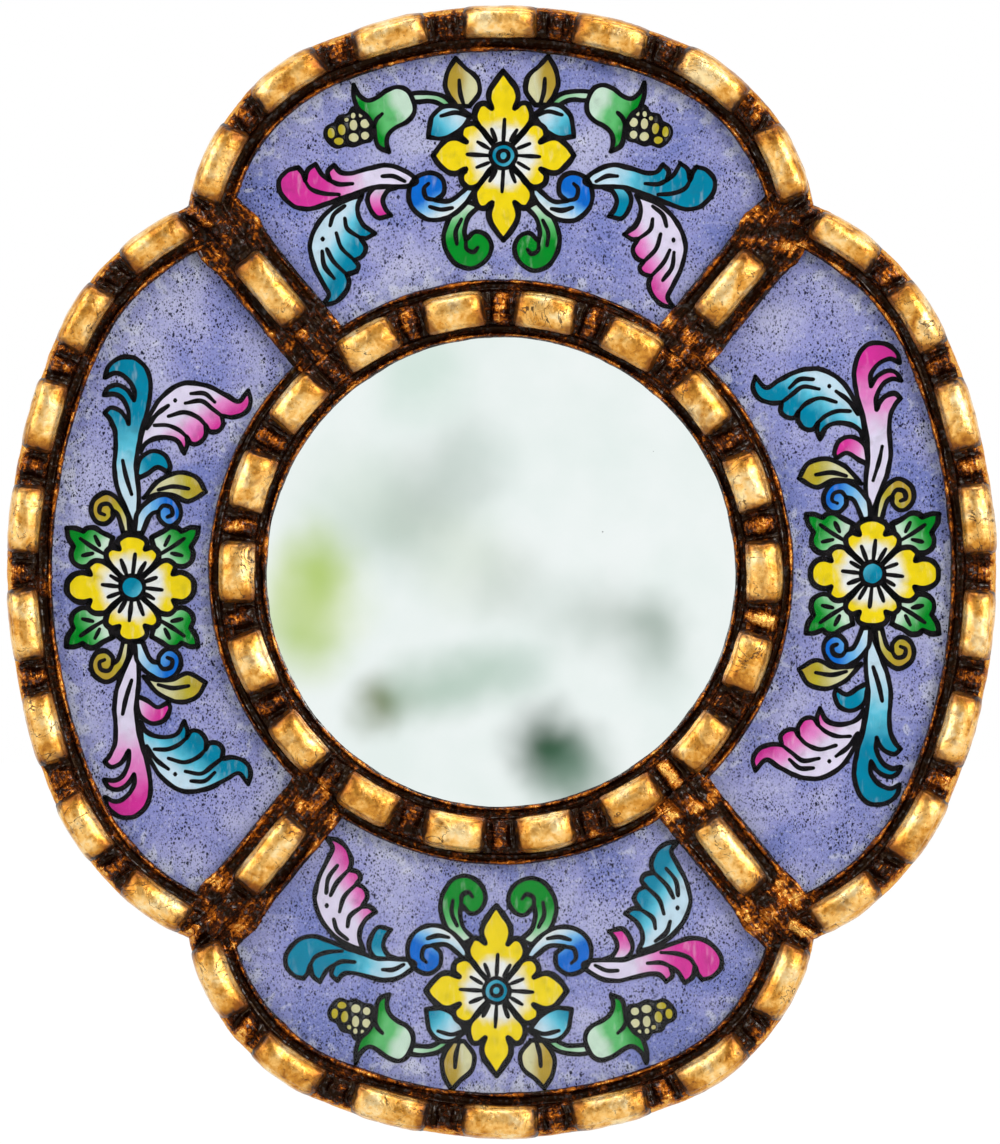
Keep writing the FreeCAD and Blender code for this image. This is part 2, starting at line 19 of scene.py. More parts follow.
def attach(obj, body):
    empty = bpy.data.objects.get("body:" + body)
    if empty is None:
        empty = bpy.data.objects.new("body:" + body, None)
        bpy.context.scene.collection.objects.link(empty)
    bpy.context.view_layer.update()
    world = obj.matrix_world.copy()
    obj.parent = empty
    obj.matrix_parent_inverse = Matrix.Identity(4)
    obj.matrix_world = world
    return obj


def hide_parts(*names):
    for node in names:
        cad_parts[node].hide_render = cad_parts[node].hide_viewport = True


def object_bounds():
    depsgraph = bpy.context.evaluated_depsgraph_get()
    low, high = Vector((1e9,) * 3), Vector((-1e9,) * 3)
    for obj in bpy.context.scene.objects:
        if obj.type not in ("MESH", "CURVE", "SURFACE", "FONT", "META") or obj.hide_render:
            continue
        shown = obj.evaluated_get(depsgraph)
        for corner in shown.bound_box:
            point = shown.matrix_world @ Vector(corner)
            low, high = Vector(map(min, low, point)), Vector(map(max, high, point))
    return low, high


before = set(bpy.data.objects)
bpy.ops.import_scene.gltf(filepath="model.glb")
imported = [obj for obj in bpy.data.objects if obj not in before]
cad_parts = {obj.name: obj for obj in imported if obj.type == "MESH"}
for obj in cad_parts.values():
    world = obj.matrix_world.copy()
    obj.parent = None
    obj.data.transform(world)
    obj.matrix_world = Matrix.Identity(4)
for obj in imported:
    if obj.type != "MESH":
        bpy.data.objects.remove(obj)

LOG = logging.getLogger("mirror")
CAD_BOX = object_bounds()
MM = 0.001
BOARD_THICKNESS = 6.5
FIXED_BODY = "mirror"

Flat = tuple[float, float]
Colour = tuple[float, float, float]
Knots = Sequence[tuple[float, ...]]
Marked = tuple[float, float, bool]
Spot = tuple[float, float, float]


def linear(colour: Colour) -> tuple[float, float, float, float]:
    """Turns a display colour of 0 to 255 into linear values with full alpha."""
    parts = [c / 255 for c in colour]
    return (*(c / 12.92 if c <= 0.04045 else ((c + 0.055) / 1.055) ** 2.4 for c in parts), 1.0)


def polar(bearing: float, distance: float) -> Flat:
    """Gives x and z of a point at a bearing, in degrees clockwise from straight up, and a distance."""
    return distance * math.sin(math.radians(bearing)), distance * math.cos(math.radians(bearing))


def turned(points: Knots, bearing: float) -> list[tuple[float, ...]]:
    """Turns flat points clockwise about the origin; a corner mark behind the two values is kept."""
    s, c = math.sin(math.radians(bearing)), math.cos(math.radians(bearing))
    return [(p[0] * c + p[1] * s, p[1] * c - p[0] * s, *p[2:]) for p in points]


def bell(distance: float, width: float) -> float:
    """Gives a smooth bump that is 1 at no distance and fades over a width."""
    return math.exp(-((distance / width) ** 2))


def rough(x: float, y: float, z: float, size: float, octaves: int = 3) -> float:
    """Gives smooth noise of about -1 to 1 whose lumps have a size in millimetres."""
    return noise.fractal(Vector((x, y, z)) / size, 0.9, 2.1, octaves)


@dataclass(frozen=True)
class Wire:
    """An output of a node; sums with it add maths nodes to the same tree."""

    graph: "Graph"
    socket: bpy.types.NodeSocket

    def maths(self, operation: str, *others: "Operand") -> "Wire":
        """Adds a maths node with this output first."""
        return self.graph.add("ShaderNodeMath", {"operation": operation}, dict(enumerate((self, *others))))

    def swapped(self, operation: str, other: "Operand") -> "Wire":
        """Adds a maths node with this output second."""
        return self.graph.add("ShaderNodeMath", {"operation": operation}, {0: other, 1: self})

    def __add__(self, other: "Operand") -> "Wire":
        """Adds a value to this output."""
        return self.maths("ADD", other)

    def __radd__(self, other: "Operand") -> "Wire":
        """Adds this output to a value."""
        return self.swapped("ADD", other)

    def __sub__(self, other: "Operand") -> "Wire":
        """Takes a value from this output."""
        return self.maths("SUBTRACT", other)

    def __rsub__(self, other: "Operand") -> "Wire":
        """Takes this output from a value."""
        return self.swapped("SUBTRACT", other)

    def __mul__(self, other: "Operand") -> "Wire":
        """Multiplies this output by a value."""
        return self.maths("MULTIPLY", other)

    def __rmul__(self, other: "Operand") -> "Wire":
        """Multiplies a value by this output."""
        return self.swapped("MULTIPLY", other)

    def __pow__(self, other: "Operand") -> "Wire":
        """Raises this output to a power."""
        return self.maths("POWER", other)

    def __rpow__(self, other: "Operand") -> "Wire":
        """Raises a value to this output."""
        return self.swapped("POWER", other)

    def __abs__(self) -> "Wire":
        """Gives this output without its sign."""
        return self.maths("ABSOLUTE")

    def between(self, low: "Operand", high: "Operand") -> "Wire":
        """Gives 0 below low and 1 above high, with a smooth step between."""
        sockets = {"Value": self, "From Min": low, "From Max": high}
        return self.graph.add("ShaderNodeMapRange", {"interpolation_type": "SMOOTHSTEP"}, sockets)

    def mix(self, none: "Operand", full: "Operand") -> "Wire":
        """Mixes two colours with this output as the share of the second."""
        sockets = {"Factor_Float": self, "A_Color": none, "B_Color": full}
        return self.graph.add("ShaderNodeMix", {"data_type": "RGBA"}, sockets, "Result_Color")

    def vector(self, operation: str, *others: "Operand", out: Union[str, int] = 0) -> "Wire":
        """Adds a vector maths node with this output first."""
        sockets = dict(enumerate((self, *others)))
        return self.graph.add("ShaderNodeVectorMath", {"operation": operation}, sockets, out)

    def scaled(self, amount: "Operand") -> "Wire":
        """Scales this vector by a number."""
        settings = {"operation": "SCALE"}
        return self.graph.add("ShaderNodeVectorMath", settings, {"Vector": self, "Scale": amount})

    def parts(self) -> tuple["Wire", "Wire", "Wire"]:
        """Splits this vector into its three numbers."""
        node = self.graph.add("ShaderNodeSeparateXYZ", {}, {0: self}).socket.node
        return tuple(Wire(self.graph, out) for out in node.outputs)


Operand = Union[Wire, float, tuple, bpy.types.ID]


class Graph:
    """A node tree under construction."""

    def __init__(self, tree: bpy.types.NodeTree) -> None:
        """Starts an empty tree."""
        self.tree = tree
        tree.nodes.clear()

    @staticmethod
    def find(sockets: Iterable[bpy.types.NodeSocket], key: Union[str, int]) -> bpy.types.NodeSocket:
        """Finds a socket by its place, its identifier or its name.

        Args:
            sockets: The sockets to search.
            key: The place, identifier or name.

        Returns:
            The socket.
        """
        listed = list(sockets)
        if isinstance(key, int):
            return listed[key]
        exact = [s for s in listed if s.identifier == key]
        return (exact or [s for s in listed if s.name == key and s.enabled])[0]

    def add(
        self,
        kind: str,
        settings: Optional[dict] = None,
        sockets: Optional[dict] = None,
        out: Union[str, int] = 0,
    ) -> Wire:
        """Adds a node.

        Args:
            kind: The node's type.
            settings: Properties of the node, set before its sockets.
            sockets: Values or wires for its inputs, by name, identifier or place.
            out: The output to return.

        Returns:
            The chosen output.
        """
        node = self.tree.nodes.new(kind)
        for key, value in (settings or {}).items():
            setattr(node, key, value)
        for key, value in (sockets or {}).items():
            socket = self.find(node.inputs, key)
            if isinstance(value, Wire):
                self.tree.links.new(value.socket, socket)
            else:
                socket.default_value = value
        return Wire(self, self.find(node.outputs, out) if node.outputs else None)

    def place(self) -> Wire:
        """Gives the object's own coordinates."""
        return self.add("ShaderNodeTexCoord", out="Object")

    def value(self, name: str) -> Wire:
        """Gives a number stored on the mesh."""
        return self.add("ShaderNodeAttribute", {"attribute_name": name}, out="Fac")

    def stretched(self, place: Wire, scale: Spot, turn: float = 0.0) -> Wire:
        """Gives coordinates turned about the depth and scaled, for grain and strokes."""
        rotation = (0.0, math.radians(turn), 0.0)
        return self.add("ShaderNodeMapping", {}, {"Vector": place, "Rotation": rotation, "Scale": scale})

    def noise(self, place: Wire, size: float, detail: float = 4.0, bend: float = 0.0) -> Wire:
        """Gives noise of 0 to 1 whose patches have a size in millimetres."""
        sockets = {"Vector": place, "Scale": 1 / (size * MM), "Detail": detail, "Distortion": bend}
        return self.add("ShaderNodeTexNoise", {}, sockets, "Fac")

    def push(self, place: Wire, size: float) -> Wire:
        """Gives a vector of noise about zero whose patches have a size in millimetres."""
        sockets = {"Vector": place, "Scale": 1 / (size * MM), "Detail": 2.0}
        return self.add("ShaderNodeTexNoise", {}, sockets, "Color").vector("SUBTRACT", (0.5, 0.5, 0.5))

    def shaken(self, place: Wire, size: float, reach: float) -> Wire:
        """Gives coordinates pushed about by noise, for ragged edges."""
        return place.vector("ADD", self.push(place, size).scaled(2 * reach * MM))

    def joined(self, x: Operand = 0.0, y: Operand = 0.0, z: Operand = 0.0) -> Wire:
        """Joins three numbers into a vector."""
        return self.add("ShaderNodeCombineXYZ", {}, {0: x, 1: y, 2: z})

    def specks(self, place: Wire, cell: float, largest: float, share: float) -> Wire:
        """Gives 1 on small ragged dots and 0 between them, the same through the whole depth.

        Args:
            place: Coordinates.
            cell: Mean distance between dots, in millimetres.
            largest: Radius of the largest dot as a share of the cell.
            share: Share of the cells that hold a dot.

        Returns:
            The dots as a mask.
        """
        x, _, z = place.parts()
        settings = {"feature": "F1", "voronoi_dimensions": "2D"}
        sockets = {"Vector": self.joined(x, z), "Scale": 1 / (cell * MM)}
        spot = self.add("ShaderNodeTexVoronoi", settings, sockets, "Distance")
        chance, spread, _ = Wire(self, spot.socket.node.outputs["Color"]).parts()
        radius = (chance - (1 - share)).between(0.0, 0.05) * largest * (spread * 0.6 + 0.4)
        return 1.0 - spot.between(radius * 0.7, radius * 1.2 + 0.0002)

    def ramp(self, position: Wire, stops: Sequence[tuple[float, Colour]]) -> Wire:
        """Gives a colour from a ramp of display colours.

        Args:
            position: Place on the ramp, from 0 to 1.
            stops: Places with their colours.

        Returns:
            The colour.
        """
        made = self.add("ShaderNodeValToRGB", {}, {0: position})
        elements = made.socket.node.color_ramp.elements
        while len(elements) < len(stops):
            elements.new(0.5)
        for element, (at, colour) in zip(elements, stops):
            element.position = at
            element.color = linear(colour)
        return made

    def bump(self, height: Wire, depth: float) -> Wire:
        """Gives a normal from a height of 0 to 1 that stands for a depth in millimetres."""
        return self.add("ShaderNodeBump", {}, {"Height": height, "Distance": depth * MM, "Strength": 1.0})

    def background_ray(self) -> Wire:
        """Gives 1 for rays that show the background: to the camera, in metal and through glass.

        Returns:
            The value, 1 or 0.
        """
        outputs = self.add("ShaderNodeLightPath").socket.node.outputs
        camera, glossy, through = (
            Wire(self, outputs[f"Is {kind} Ray"]) for kind in ("Camera", "Glossy", "Transmission")
        )
        return camera.maths("MAXIMUM", glossy).maths("MAXIMUM", through)

    def blend(self, share: Wire, first: Wire, second: Wire) -> Wire:
        """Mixes two shaders by the share of the second."""
        return self.add("ShaderNodeMixShader", {}, {"Fac": share, 1: first, 2: second})

    def glow(self, colour: Operand, strength: float) -> Wire:
        """Adds a shader that shines by itself."""
        return self.add("ShaderNodeEmission", {}, {"Color": colour, "Strength": strength})

    def principled(self, **sockets: Operand) -> Wire:
        """Adds the main shader; words of a socket's name are joined by an underscore."""
        named = {key.replace("_", " "): value for key, value in sockets.items()}
        return self.add("ShaderNodeBsdfPrincipled", {}, named)


class Finish(ABC):
    """A finish that makes one node material and gives it to pieces."""

    name: str

    def material(self) -> bpy.types.Material:
        """Finds the material, or makes it at the first call.

        Returns:
            The material.
        """
        found = bpy.data.materials.get(self.name)
        if found is None:
            found = bpy.data.materials.new(self.name)
            found.use_nodes = True
            graph = Graph(found.node_tree)
            graph.add("ShaderNodeOutputMaterial", {}, {"Surface": self.surface(graph)})
        return found

    @abstractmethod
    def surface(self, graph: Graph) -> Wire:
        """Builds the shader and returns its output."""


@dataclass(frozen=True)
class GoldLeaf(Finish):
    """Leaf over carved plaster: mottled, grained, cracked and dark where a block meets the moulding, with
    painted shade on its inner side and in part towards its ends and sides.
    """

    name: str = "gold_leaf"
    deep: Colour = (146, 82, 16)
    amber: Colour = (210, 143, 50)
    gold: Colour = (246, 192, 106)
    pale: Colour = (255, 226, 166)
    brown: Colour = (112, 56, 10)
    stain: Colour = (34, 12, 2)

    def surface(self, graph: Graph) -> Wire:
        """Builds the shader from the block's foot, end and rim values and several noises.

        Args:
            graph: The tree to build in.

        Returns:
            The shader's output.
        """
        place = graph.place()
        patches = graph.noise(place, 5.5, 4.0, 0.6)
        grain = graph.noise(place, 0.7, 5.0)
        worn = graph.noise(place, 1.6, 6.0, 0.8)
        foot, end, rim = graph.value("foot"), graph.value("end"), graph.value("rim")
        outer = rim.between(0.3, 0.9)
        # Paler on the top face, darker towards the ends and, except on the outer side, down the sides:
        # patina in part, painted shade in part.
        middle = 1.0 - end.between(0.3, 1.0) * 0.45 - foot.between(0.0, 0.4) * (1.0 - outer) * 0.5
        stops = ((0.2, self.deep), (0.4, self.amber), (0.57, self.gold), (0.76, self.pale))
        colour = graph.ramp(patches * 1.1 + grain * 0.35 + worn * 0.45 + middle * 0.34 - 0.73, stops)
        low = foot.between(0.1, 0.5) * (1.0 - outer * 0.85)
        # Browner on the block's inner side: painted shade.
        inner = (0.0 - rim).between(0.25, 1.0)
        # Brown mask: patina at the foot and the ends, painted shade on the inner side, and random wear.
        patina_and_inner_shade = low * 0.6 + end.between(0.5, 1.0) * 0.95 + inner * 0.5 + (worn - 0.5) * 2.0
        brown = patina_and_inner_shade.between(0.3, 1.0)
        stained = foot.between(0.3, 0.75) * (1.0 - outer * 0.7) + end.between(0.74, 1.0) * 0.7
        stain = (stained + (worn - 0.5) * 1.6).between(0.4, 0.85)
        cracks = 1.0 - abs(graph.noise(place, 6.5, 7.0, 1.6) - 0.5).between(0.004, 0.012)
        pits = graph.specks(graph.shaken(place, 0.5, 0.3), 1.5, 0.15, 0.35)
        brittle = graph.noise(place, 9.0).between(0.48, 0.58)
        marks = (cracks * brittle * 0.75 + pits * 0.45).between(0.0, 1.0)
        blots = graph.noise(place, 2.8, 5.0, 0.7).between(0.54, 0.7) * 0.5
        colour = (brown * 0.8).maths("MAXIMUM", blots).mix(colour, linear(self.brown))
        colour = stain.mix(colour, linear(self.stain))
        colour = marks.mix(colour, linear(self.stain))
        height = patches * 0.4 + worn * 0.45 + grain * 0.3 - marks * 0.25
        return graph.principled(
            Base_Color=colour,
            Metallic=0.76 - stain * 0.5 - marks * 0.3,
            Roughness=0.19 + grain * 0.22 + stain * 0.08,
            Normal=graph.bump(height, 0.2),
        )


@dataclass(frozen=True)
class DarkPatina(Finish):
    """Dark varnish over bole on the mouldings, rubbed through to amber and gold on high places."""

    name: str = "dark_patina"
    dark: Colour = (16, 3, 0)
    brown: Colour = (66, 24, 4)
    amber: Colour = (168, 88, 16)
    gold: Colour = (236, 178, 88)

    def surface(self, graph: Graph) -> Wire:
        """Builds the shader from the moulding's rub, run and lane values and noise.

        Args:
            graph: The tree to build in.

        Returns:
            The shader's output.
        """
        place = graph.place()
        flecks = graph.noise(place, 0.85, 6.0, 0.9)
        broad = graph.noise(place, 5.0, 3.0)
        lanes = graph.joined(graph.value("run") * 0.07, graph.value("lane"))
        streaks = graph.noise(lanes, 0.45, 3.0)
        shown = graph.value("rub") * 0.45 + (flecks - 0.5) * 1.3 + (streaks - 0.5) * 0.8
        shown = shown + (broad - 0.5) * 1.2 + 0.04
        stops = ((0.1, self.dark), (0.32, self.brown), (0.54, self.amber), (0.82, self.gold))
        grainy = flecks * 0.45 + graph.noise(place, 0.45, 2.0) * 0.35
        height = grainy * (0.2 + shown.between(0.05, 0.45) * 0.8) + streaks * 0.15 + broad * 0.05
        return graph.principled(
            Base_Color=graph.ramp(shown, stops),
            Metallic=shown.between(0.22, 0.7) * 0.85,
            Roughness=0.13 + shown.between(0.2, 0.9) * 0.12,
            Specular_IOR_Level=0.12,
            Specular_Tint=(1.0, 0.62, 0.34, 1.0),
            Coat_Weight=graph.noise(place, 0.7, 3.0).between(0.5, 0.68) * 0.7,
            Coat_Roughness=0.07,
            Normal=graph.bump(height, 0.5),
        )


@dataclass(frozen=True)
class LilacGround(Finish):
    """Lilac paint behind the glass: clouded, streaked, worn pale at the edges, bluer near them with painted
    shade, and peppered with specks.
    """

    name: str = "lilac_ground"
    lilac: Colour = (151, 152, 204)
    blue: Colour = (122, 130, 192)
    pale: Colour = (179, 178, 213)
    chalk: Colour = (212, 212, 226)
    speck: Colour = (28, 26, 50)
    peppers: tuple[tuple[float, float, float, float, float], ...] = (
        (0.36, 0.36, 0.75, 61.0, 0.75),
        (0.6, 0.29, 0.7, 24.0, 1.0),
        (1.15, 0.22, 0.45, 40.0, 1.0),
    )

    def surface(self, graph: Graph) -> Wire:
        """Builds the shader from object coordinates and the distance to the pane's edge.

        Args:
            graph: The tree to build in.

        Returns:
            The shader's output.
        """
        place = graph.place()
        clouds = graph.noise(place, 13.0, 3.0, 0.4)
        stops = ((0.34, self.blue), (0.5, self.lilac), (0.66, self.pale))
        colour = graph.ramp(clouds, stops)
        strokes = graph.noise(graph.stretched(place, (0.16, 1.0, 1.0), 28.0), 1.6, 3.0, 0.3)
        colour = (strokes.between(0.56, 0.74) * 0.4).mix(colour, linear(self.pale))
        edge = graph.value("edge")
        sponged = graph.noise(place, 2.2, 7.0, 0.4)
        dusty = (edge * 0.7 + (sponged - 0.5) * 2.6 + (clouds - 0.5)).between(0.38, 0.82)
        colour = (dusty * 0.65).mix(colour, linear(self.chalk))
        # Bluer and darker near the pane's edge, under the mouldings' lips: painted shade, broken up by the
        # clouds.
        clouded_edge_shade = (edge + (clouds - 0.5) * 1.6).between(0.5, 1.0) * (1.0 - dusty) * 0.4
        colour = clouded_edge_shade.mix(colour, linear(self.blue))
        flakes = graph.specks(graph.shaken(place, 0.4, 0.25), 0.8, 0.34, 0.5)
        colour = (flakes * 0.3).mix(colour, linear(self.chalk))
        ragged = graph.shaken(place, 0.35, 0.22)
        dense = graph.noise(place, 5.0, 5.0, 0.5).between(0.38, 0.6) * 0.5 + 0.5
        for cell, radius, share, turn, strength in self.peppers:
            dots = graph.specks(graph.stretched(ragged, (1.0, 1.0, 0.7), turn), cell, radius, share)
            colour = (dots * dense * strength).mix(colour, linear(self.speck))
        return graph.principled(Base_Color=colour, Roughness=0.5 + clouds * 0.2, Specular_IOR_Level=0.0)


@dataclass(frozen=True)
class BrushPaint(Finish):
    """Thin enamel of the ornament, in the colour stored on each point, with brush marks."""

    name: str = "ornament_paint"
    thin: Colour = (238, 238, 242)
    thick: Colour = (52, 52, 60)

    def surface(self, graph: Graph) -> Wire:
        """Builds the shader from the stored colour.

        Args:
            graph: The tree to build in.

        Returns:
            The shader's output.
        """
        place = graph.place()
        colour = graph.add("ShaderNodeAttribute", {"attribute_name": "paint"}, out="Color")
        strokes = graph.noise(graph.stretched(place, (1.0, 1.0, 0.3), 35.0), 1.0, 3.0)
        colour = (strokes.between(0.55, 0.8) * 0.22).mix(colour, linear(self.thin))
        heaps = graph.noise(place, 2.2, 3.0).between(0.52, 0.8) * 0.25
        colour = heaps.mix(colour, linear(self.thick))
        return graph.principled(Base_Color=colour, Roughness=0.42 + strokes * 0.2, Specular_IOR_Level=0.0)


@dataclass(frozen=True)
class OutlineInk(Finish):
    """Black enamel of the drawn lines."""

    name: str = "outline_ink"
    black: Colour = (8, 8, 10)
    worn: Colour = (30, 26, 28)

    def surface(self, graph: Graph) -> Wire:
        """Builds the shader with faint cloudiness.

        Args:
            graph: The tree to build in.

        Returns:
            The shader's output.
        """
        cloud = graph.noise(graph.place(), 1.5, 3.0)
        colour = graph.ramp(cloud, ((0.3, self.black), (0.75, self.worn)))
        return graph.principled(Base_Color=colour, Roughness=0.4 + cloud * 0.2, Specular_IOR_Level=0.0)


@dataclass(frozen=True)
class ClearGlass(Finish):
    """Clear float glass over the painting, with a faint film of dust."""

    name: str = "clear_glass"
    tint: tuple[float, float, float, float] = (0.985, 0.99, 0.988, 1.0)
    sheen: tuple[float, float, float, float] = (0.9, 0.92, 0.92, 1.0)

    def surface(self, graph: Graph) -> Wire:
        """Builds clear glass as a mix of a see-through shader and a mirror shader.

        Args:
            graph: The tree to build in.

        Returns:
            The shader's output.
        """
        film = graph.noise(graph.place(), 7.0, 4.0)
        clear = graph.add("ShaderNodeBsdfTransparent", {}, {"Color": self.tint})
        shine = graph.add("ShaderNodeBsdfGlossy", {}, {"Color": self.sheen, "Roughness": 0.05})
        share = graph.add("ShaderNodeFresnel", {}, {"IOR": 1.45}) * (0.25 + film * 0.15)
        return graph.blend(share, clear, shine)


@dataclass(frozen=True)
class Silvering(Finish):
    """Silvered glass, a little hazed, with a few dark pinholes."""

    name: str = "silvering"
    cool: Colour = (236, 243, 240)
    bright: Colour = (246, 249, 248)
    pinhole: Colour = (90, 92, 90)

    def surface(self, graph: Graph) -> Wire:
        """Builds the shader.

        Args:
            graph: The tree to build in.

        Returns:
            The shader's output.
        """
        place = graph.place()
        haze = graph.noise(place, 16.0, 4.0)
        pins = graph.specks(place, 9.0, 0.02, 0.04)
        colour = graph.ramp(haze, ((0.3, self.cool), (0.7, self.bright)))
        return graph.principled(
            Base_Color=(pins * 0.4).mix(colour, linear(self.pinhole)),
            Metallic=1.0,
            Roughness=0.015 + haze.between(0.55, 0.8) * 0.03 + pins * 0.3,
        )


@dataclass(frozen=True)
class StainedBoard(Finish):
    """Pressed board: brown and fibrous on its back, stained dark round its edge."""

    name: str = "stained_board"
    umber: Colour = (128, 90, 58)
    brown: Colour = (154, 114, 76)
    buff: Colour = (176, 137, 97)
    fleck: Colour = (92, 60, 36)
    stain: Colour = (30, 14, 7)
    thin_stain: Colour = (66, 34, 15)

    def surface(self, graph: Graph) -> Wire:
        """Builds the shader; faces that look sideways take the stain.

        Args:
            graph: The tree to build in.

        Returns:
            The shader's output.
        """
        place = graph.place()
        fibres = graph.noise(graph.stretched(place, (1.0, 1.0, 0.3), 12.0), 0.35, 6.0, 0.5)
        cloud = graph.noise(place, 26.0, 5.0, 0.3)
        tones = ((0.36, self.umber), (0.5, self.brown), (0.64, self.buff))
        colour = graph.ramp(fibres * 0.4 + cloud * 0.6, tones)
        flecks = graph.specks(graph.shaken(place, 0.5, 0.3), 1.3, 0.22, 0.3)
        colour = (flecks * 0.4).mix(colour, linear(self.fleck))
        normal = graph.add("ShaderNodeNewGeometry", out="Normal")
        side = 1.0 - abs(normal.parts()[1]).between(0.35, 0.75)
        smear = (side + (graph.noise(place, 5.0, 5.0) - 0.5) * 0.5).between(0.4, 0.7)
        dark = graph.ramp(fibres, ((0.3, self.stain), (0.7, self.thin_stain)))
        return graph.principled(
            Base_Color=smear.mix(colour, dark),
            Roughness=0.72 - smear * 0.3 + (fibres - 0.5) * 0.2,
            Normal=graph.bump(fibres, 0.12),
        )


@dataclass(frozen=True)
class SmallMetal(Finish):
    """Metal of the small fittings: drawn marks, clouding and dark spots."""

    name: str
    low: Colour
    high: Colour
    spot: Colour
    gloss: float = 0.3

    def surface(self, graph: Graph) -> Wire:
        """Builds the shader.

        Args:
            graph: The tree to build in.

        Returns:
            The shader's output.
        """
        place = graph.place()
        drawn = graph.noise(graph.stretched(place, (1.0, 1.0, 0.08)), 0.18, 4.0)
        cloud = graph.noise(place, 3.0, 4.0)
        colour = graph.ramp(cloud * 0.7 + drawn * 0.3, ((0.35, self.low), (0.65, self.high)))
        spots = graph.noise(place, 1.2, 6.0, 0.5).between(0.62, 0.74)
        return graph.principled(
            Base_Color=(spots * 0.7).mix(colour, linear(self.spot)),
            Metallic=1.0 - spots * 0.5,
            Roughness=self.gloss + drawn * 0.15 + spots * 0.25,
            Normal=graph.bump(drawn, 0.02),
        )


GOLD_LEAF = GoldLeaf()
DARK_PATINA = DarkPatina()
ZINC = SmallMetal("zinc_plate", (142, 146, 152), (196, 200, 204), (112, 108, 100))
BRASS = SmallMetal("brass_screw", (150, 116, 56), (206, 172, 98), (86, 66, 36), 0.26)
NAIL = SmallMetal("nail_steel", (92, 94, 98), (140, 142, 146), (88, 58, 40), 0.38)


def inside_box(place: Vector) -> Vector:
    """Moves a place in metres to the nearest one inside the solids' box."""
    return Vector(max(low, min(high, part)) for part, low, high in zip(place, *CAD_BOX))


@dataclass
class Surface:
    """Points, faces and values of a piece under construction, in millimetres in front of the board."""

    points: list[Spot] = field(default_factory=list)
    faces: list[tuple[int, ...]] = field(default_factory=list)
    values: dict[str, list[float]] = field(default_factory=dict)
    paints: list[tuple[float, ...]] = field(default_factory=list)

    def add(self, x: float, z: float, height: float, **values: float) -> int:
        """Adds a point with its values.

        Args:
            x: Place to the right.
            z: Place upwards.
            height: Height in front of the board.
            values: Numbers to store on the point, by name.

        Returns:
            The point's number.
        """
        self.points.append((x, z, height))
        for key, value in values.items():
            self.values.setdefault(key, []).append(value)
        return len(self.points) - 1

    def mesh(self, name: str, closed: bool) -> bpy.types.Mesh:
        """Makes the mesh in metres.

        Args:
            name: The mesh's name.
            closed: True for a solid skin, whose normals are then turned outwards.

        Returns:
            The mesh.
        """
        made = bpy.data.meshes.new(name)
        spots = [inside_box(Vector((x, -(BOARD_THICKNESS + h), z)) * MM) for x, z, h in self.points]
        made.from_pydata(spots, [], self.faces)
        if closed:
            body = bmesh.new()
            body.from_mesh(made)
            bmesh.ops.recalc_face_normals(body, faces=body.faces)
            body.to_mesh(made)
            body.free()
        for key, listed in self.values.items():
            made.attributes.new(key, "FLOAT", "POINT").data.foreach_set("value", listed)
        if self.paints:
            flat = [part for paint in self.paints for part in paint]
            made.attributes.new("paint", "FLOAT_COLOR", "POINT").data.foreach_set("color", flat)
        made.polygons.foreach_set("use_smooth", [closed] * len(made.polygons))
        return made


def join_in(name: str, mesh: bpy.types.Mesh, finish: Finish, slot: str, *nodes: str) -> bpy.types.Object:
    """Puts a mesh into the scene as a piece of the fixed body.

    Args:
        name: The piece's name.
        mesh: Its mesh.
        finish: Its finish.
        slot: The record's material slot; not used.
        nodes: The CAD nodes that it stands for.

    Returns:
        The piece.
    """
    piece = bpy.data.objects.new(name, mesh)
    bpy.context.scene.collection.objects.link(piece)
    mesh.materials.clear()
    mesh.materials.append(finish.material())
    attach(piece, FIXED_BODY)
    if nodes:
        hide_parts(*nodes)
    LOG.info("%s: %d points", name, len(mesh.vertices))
    return piece


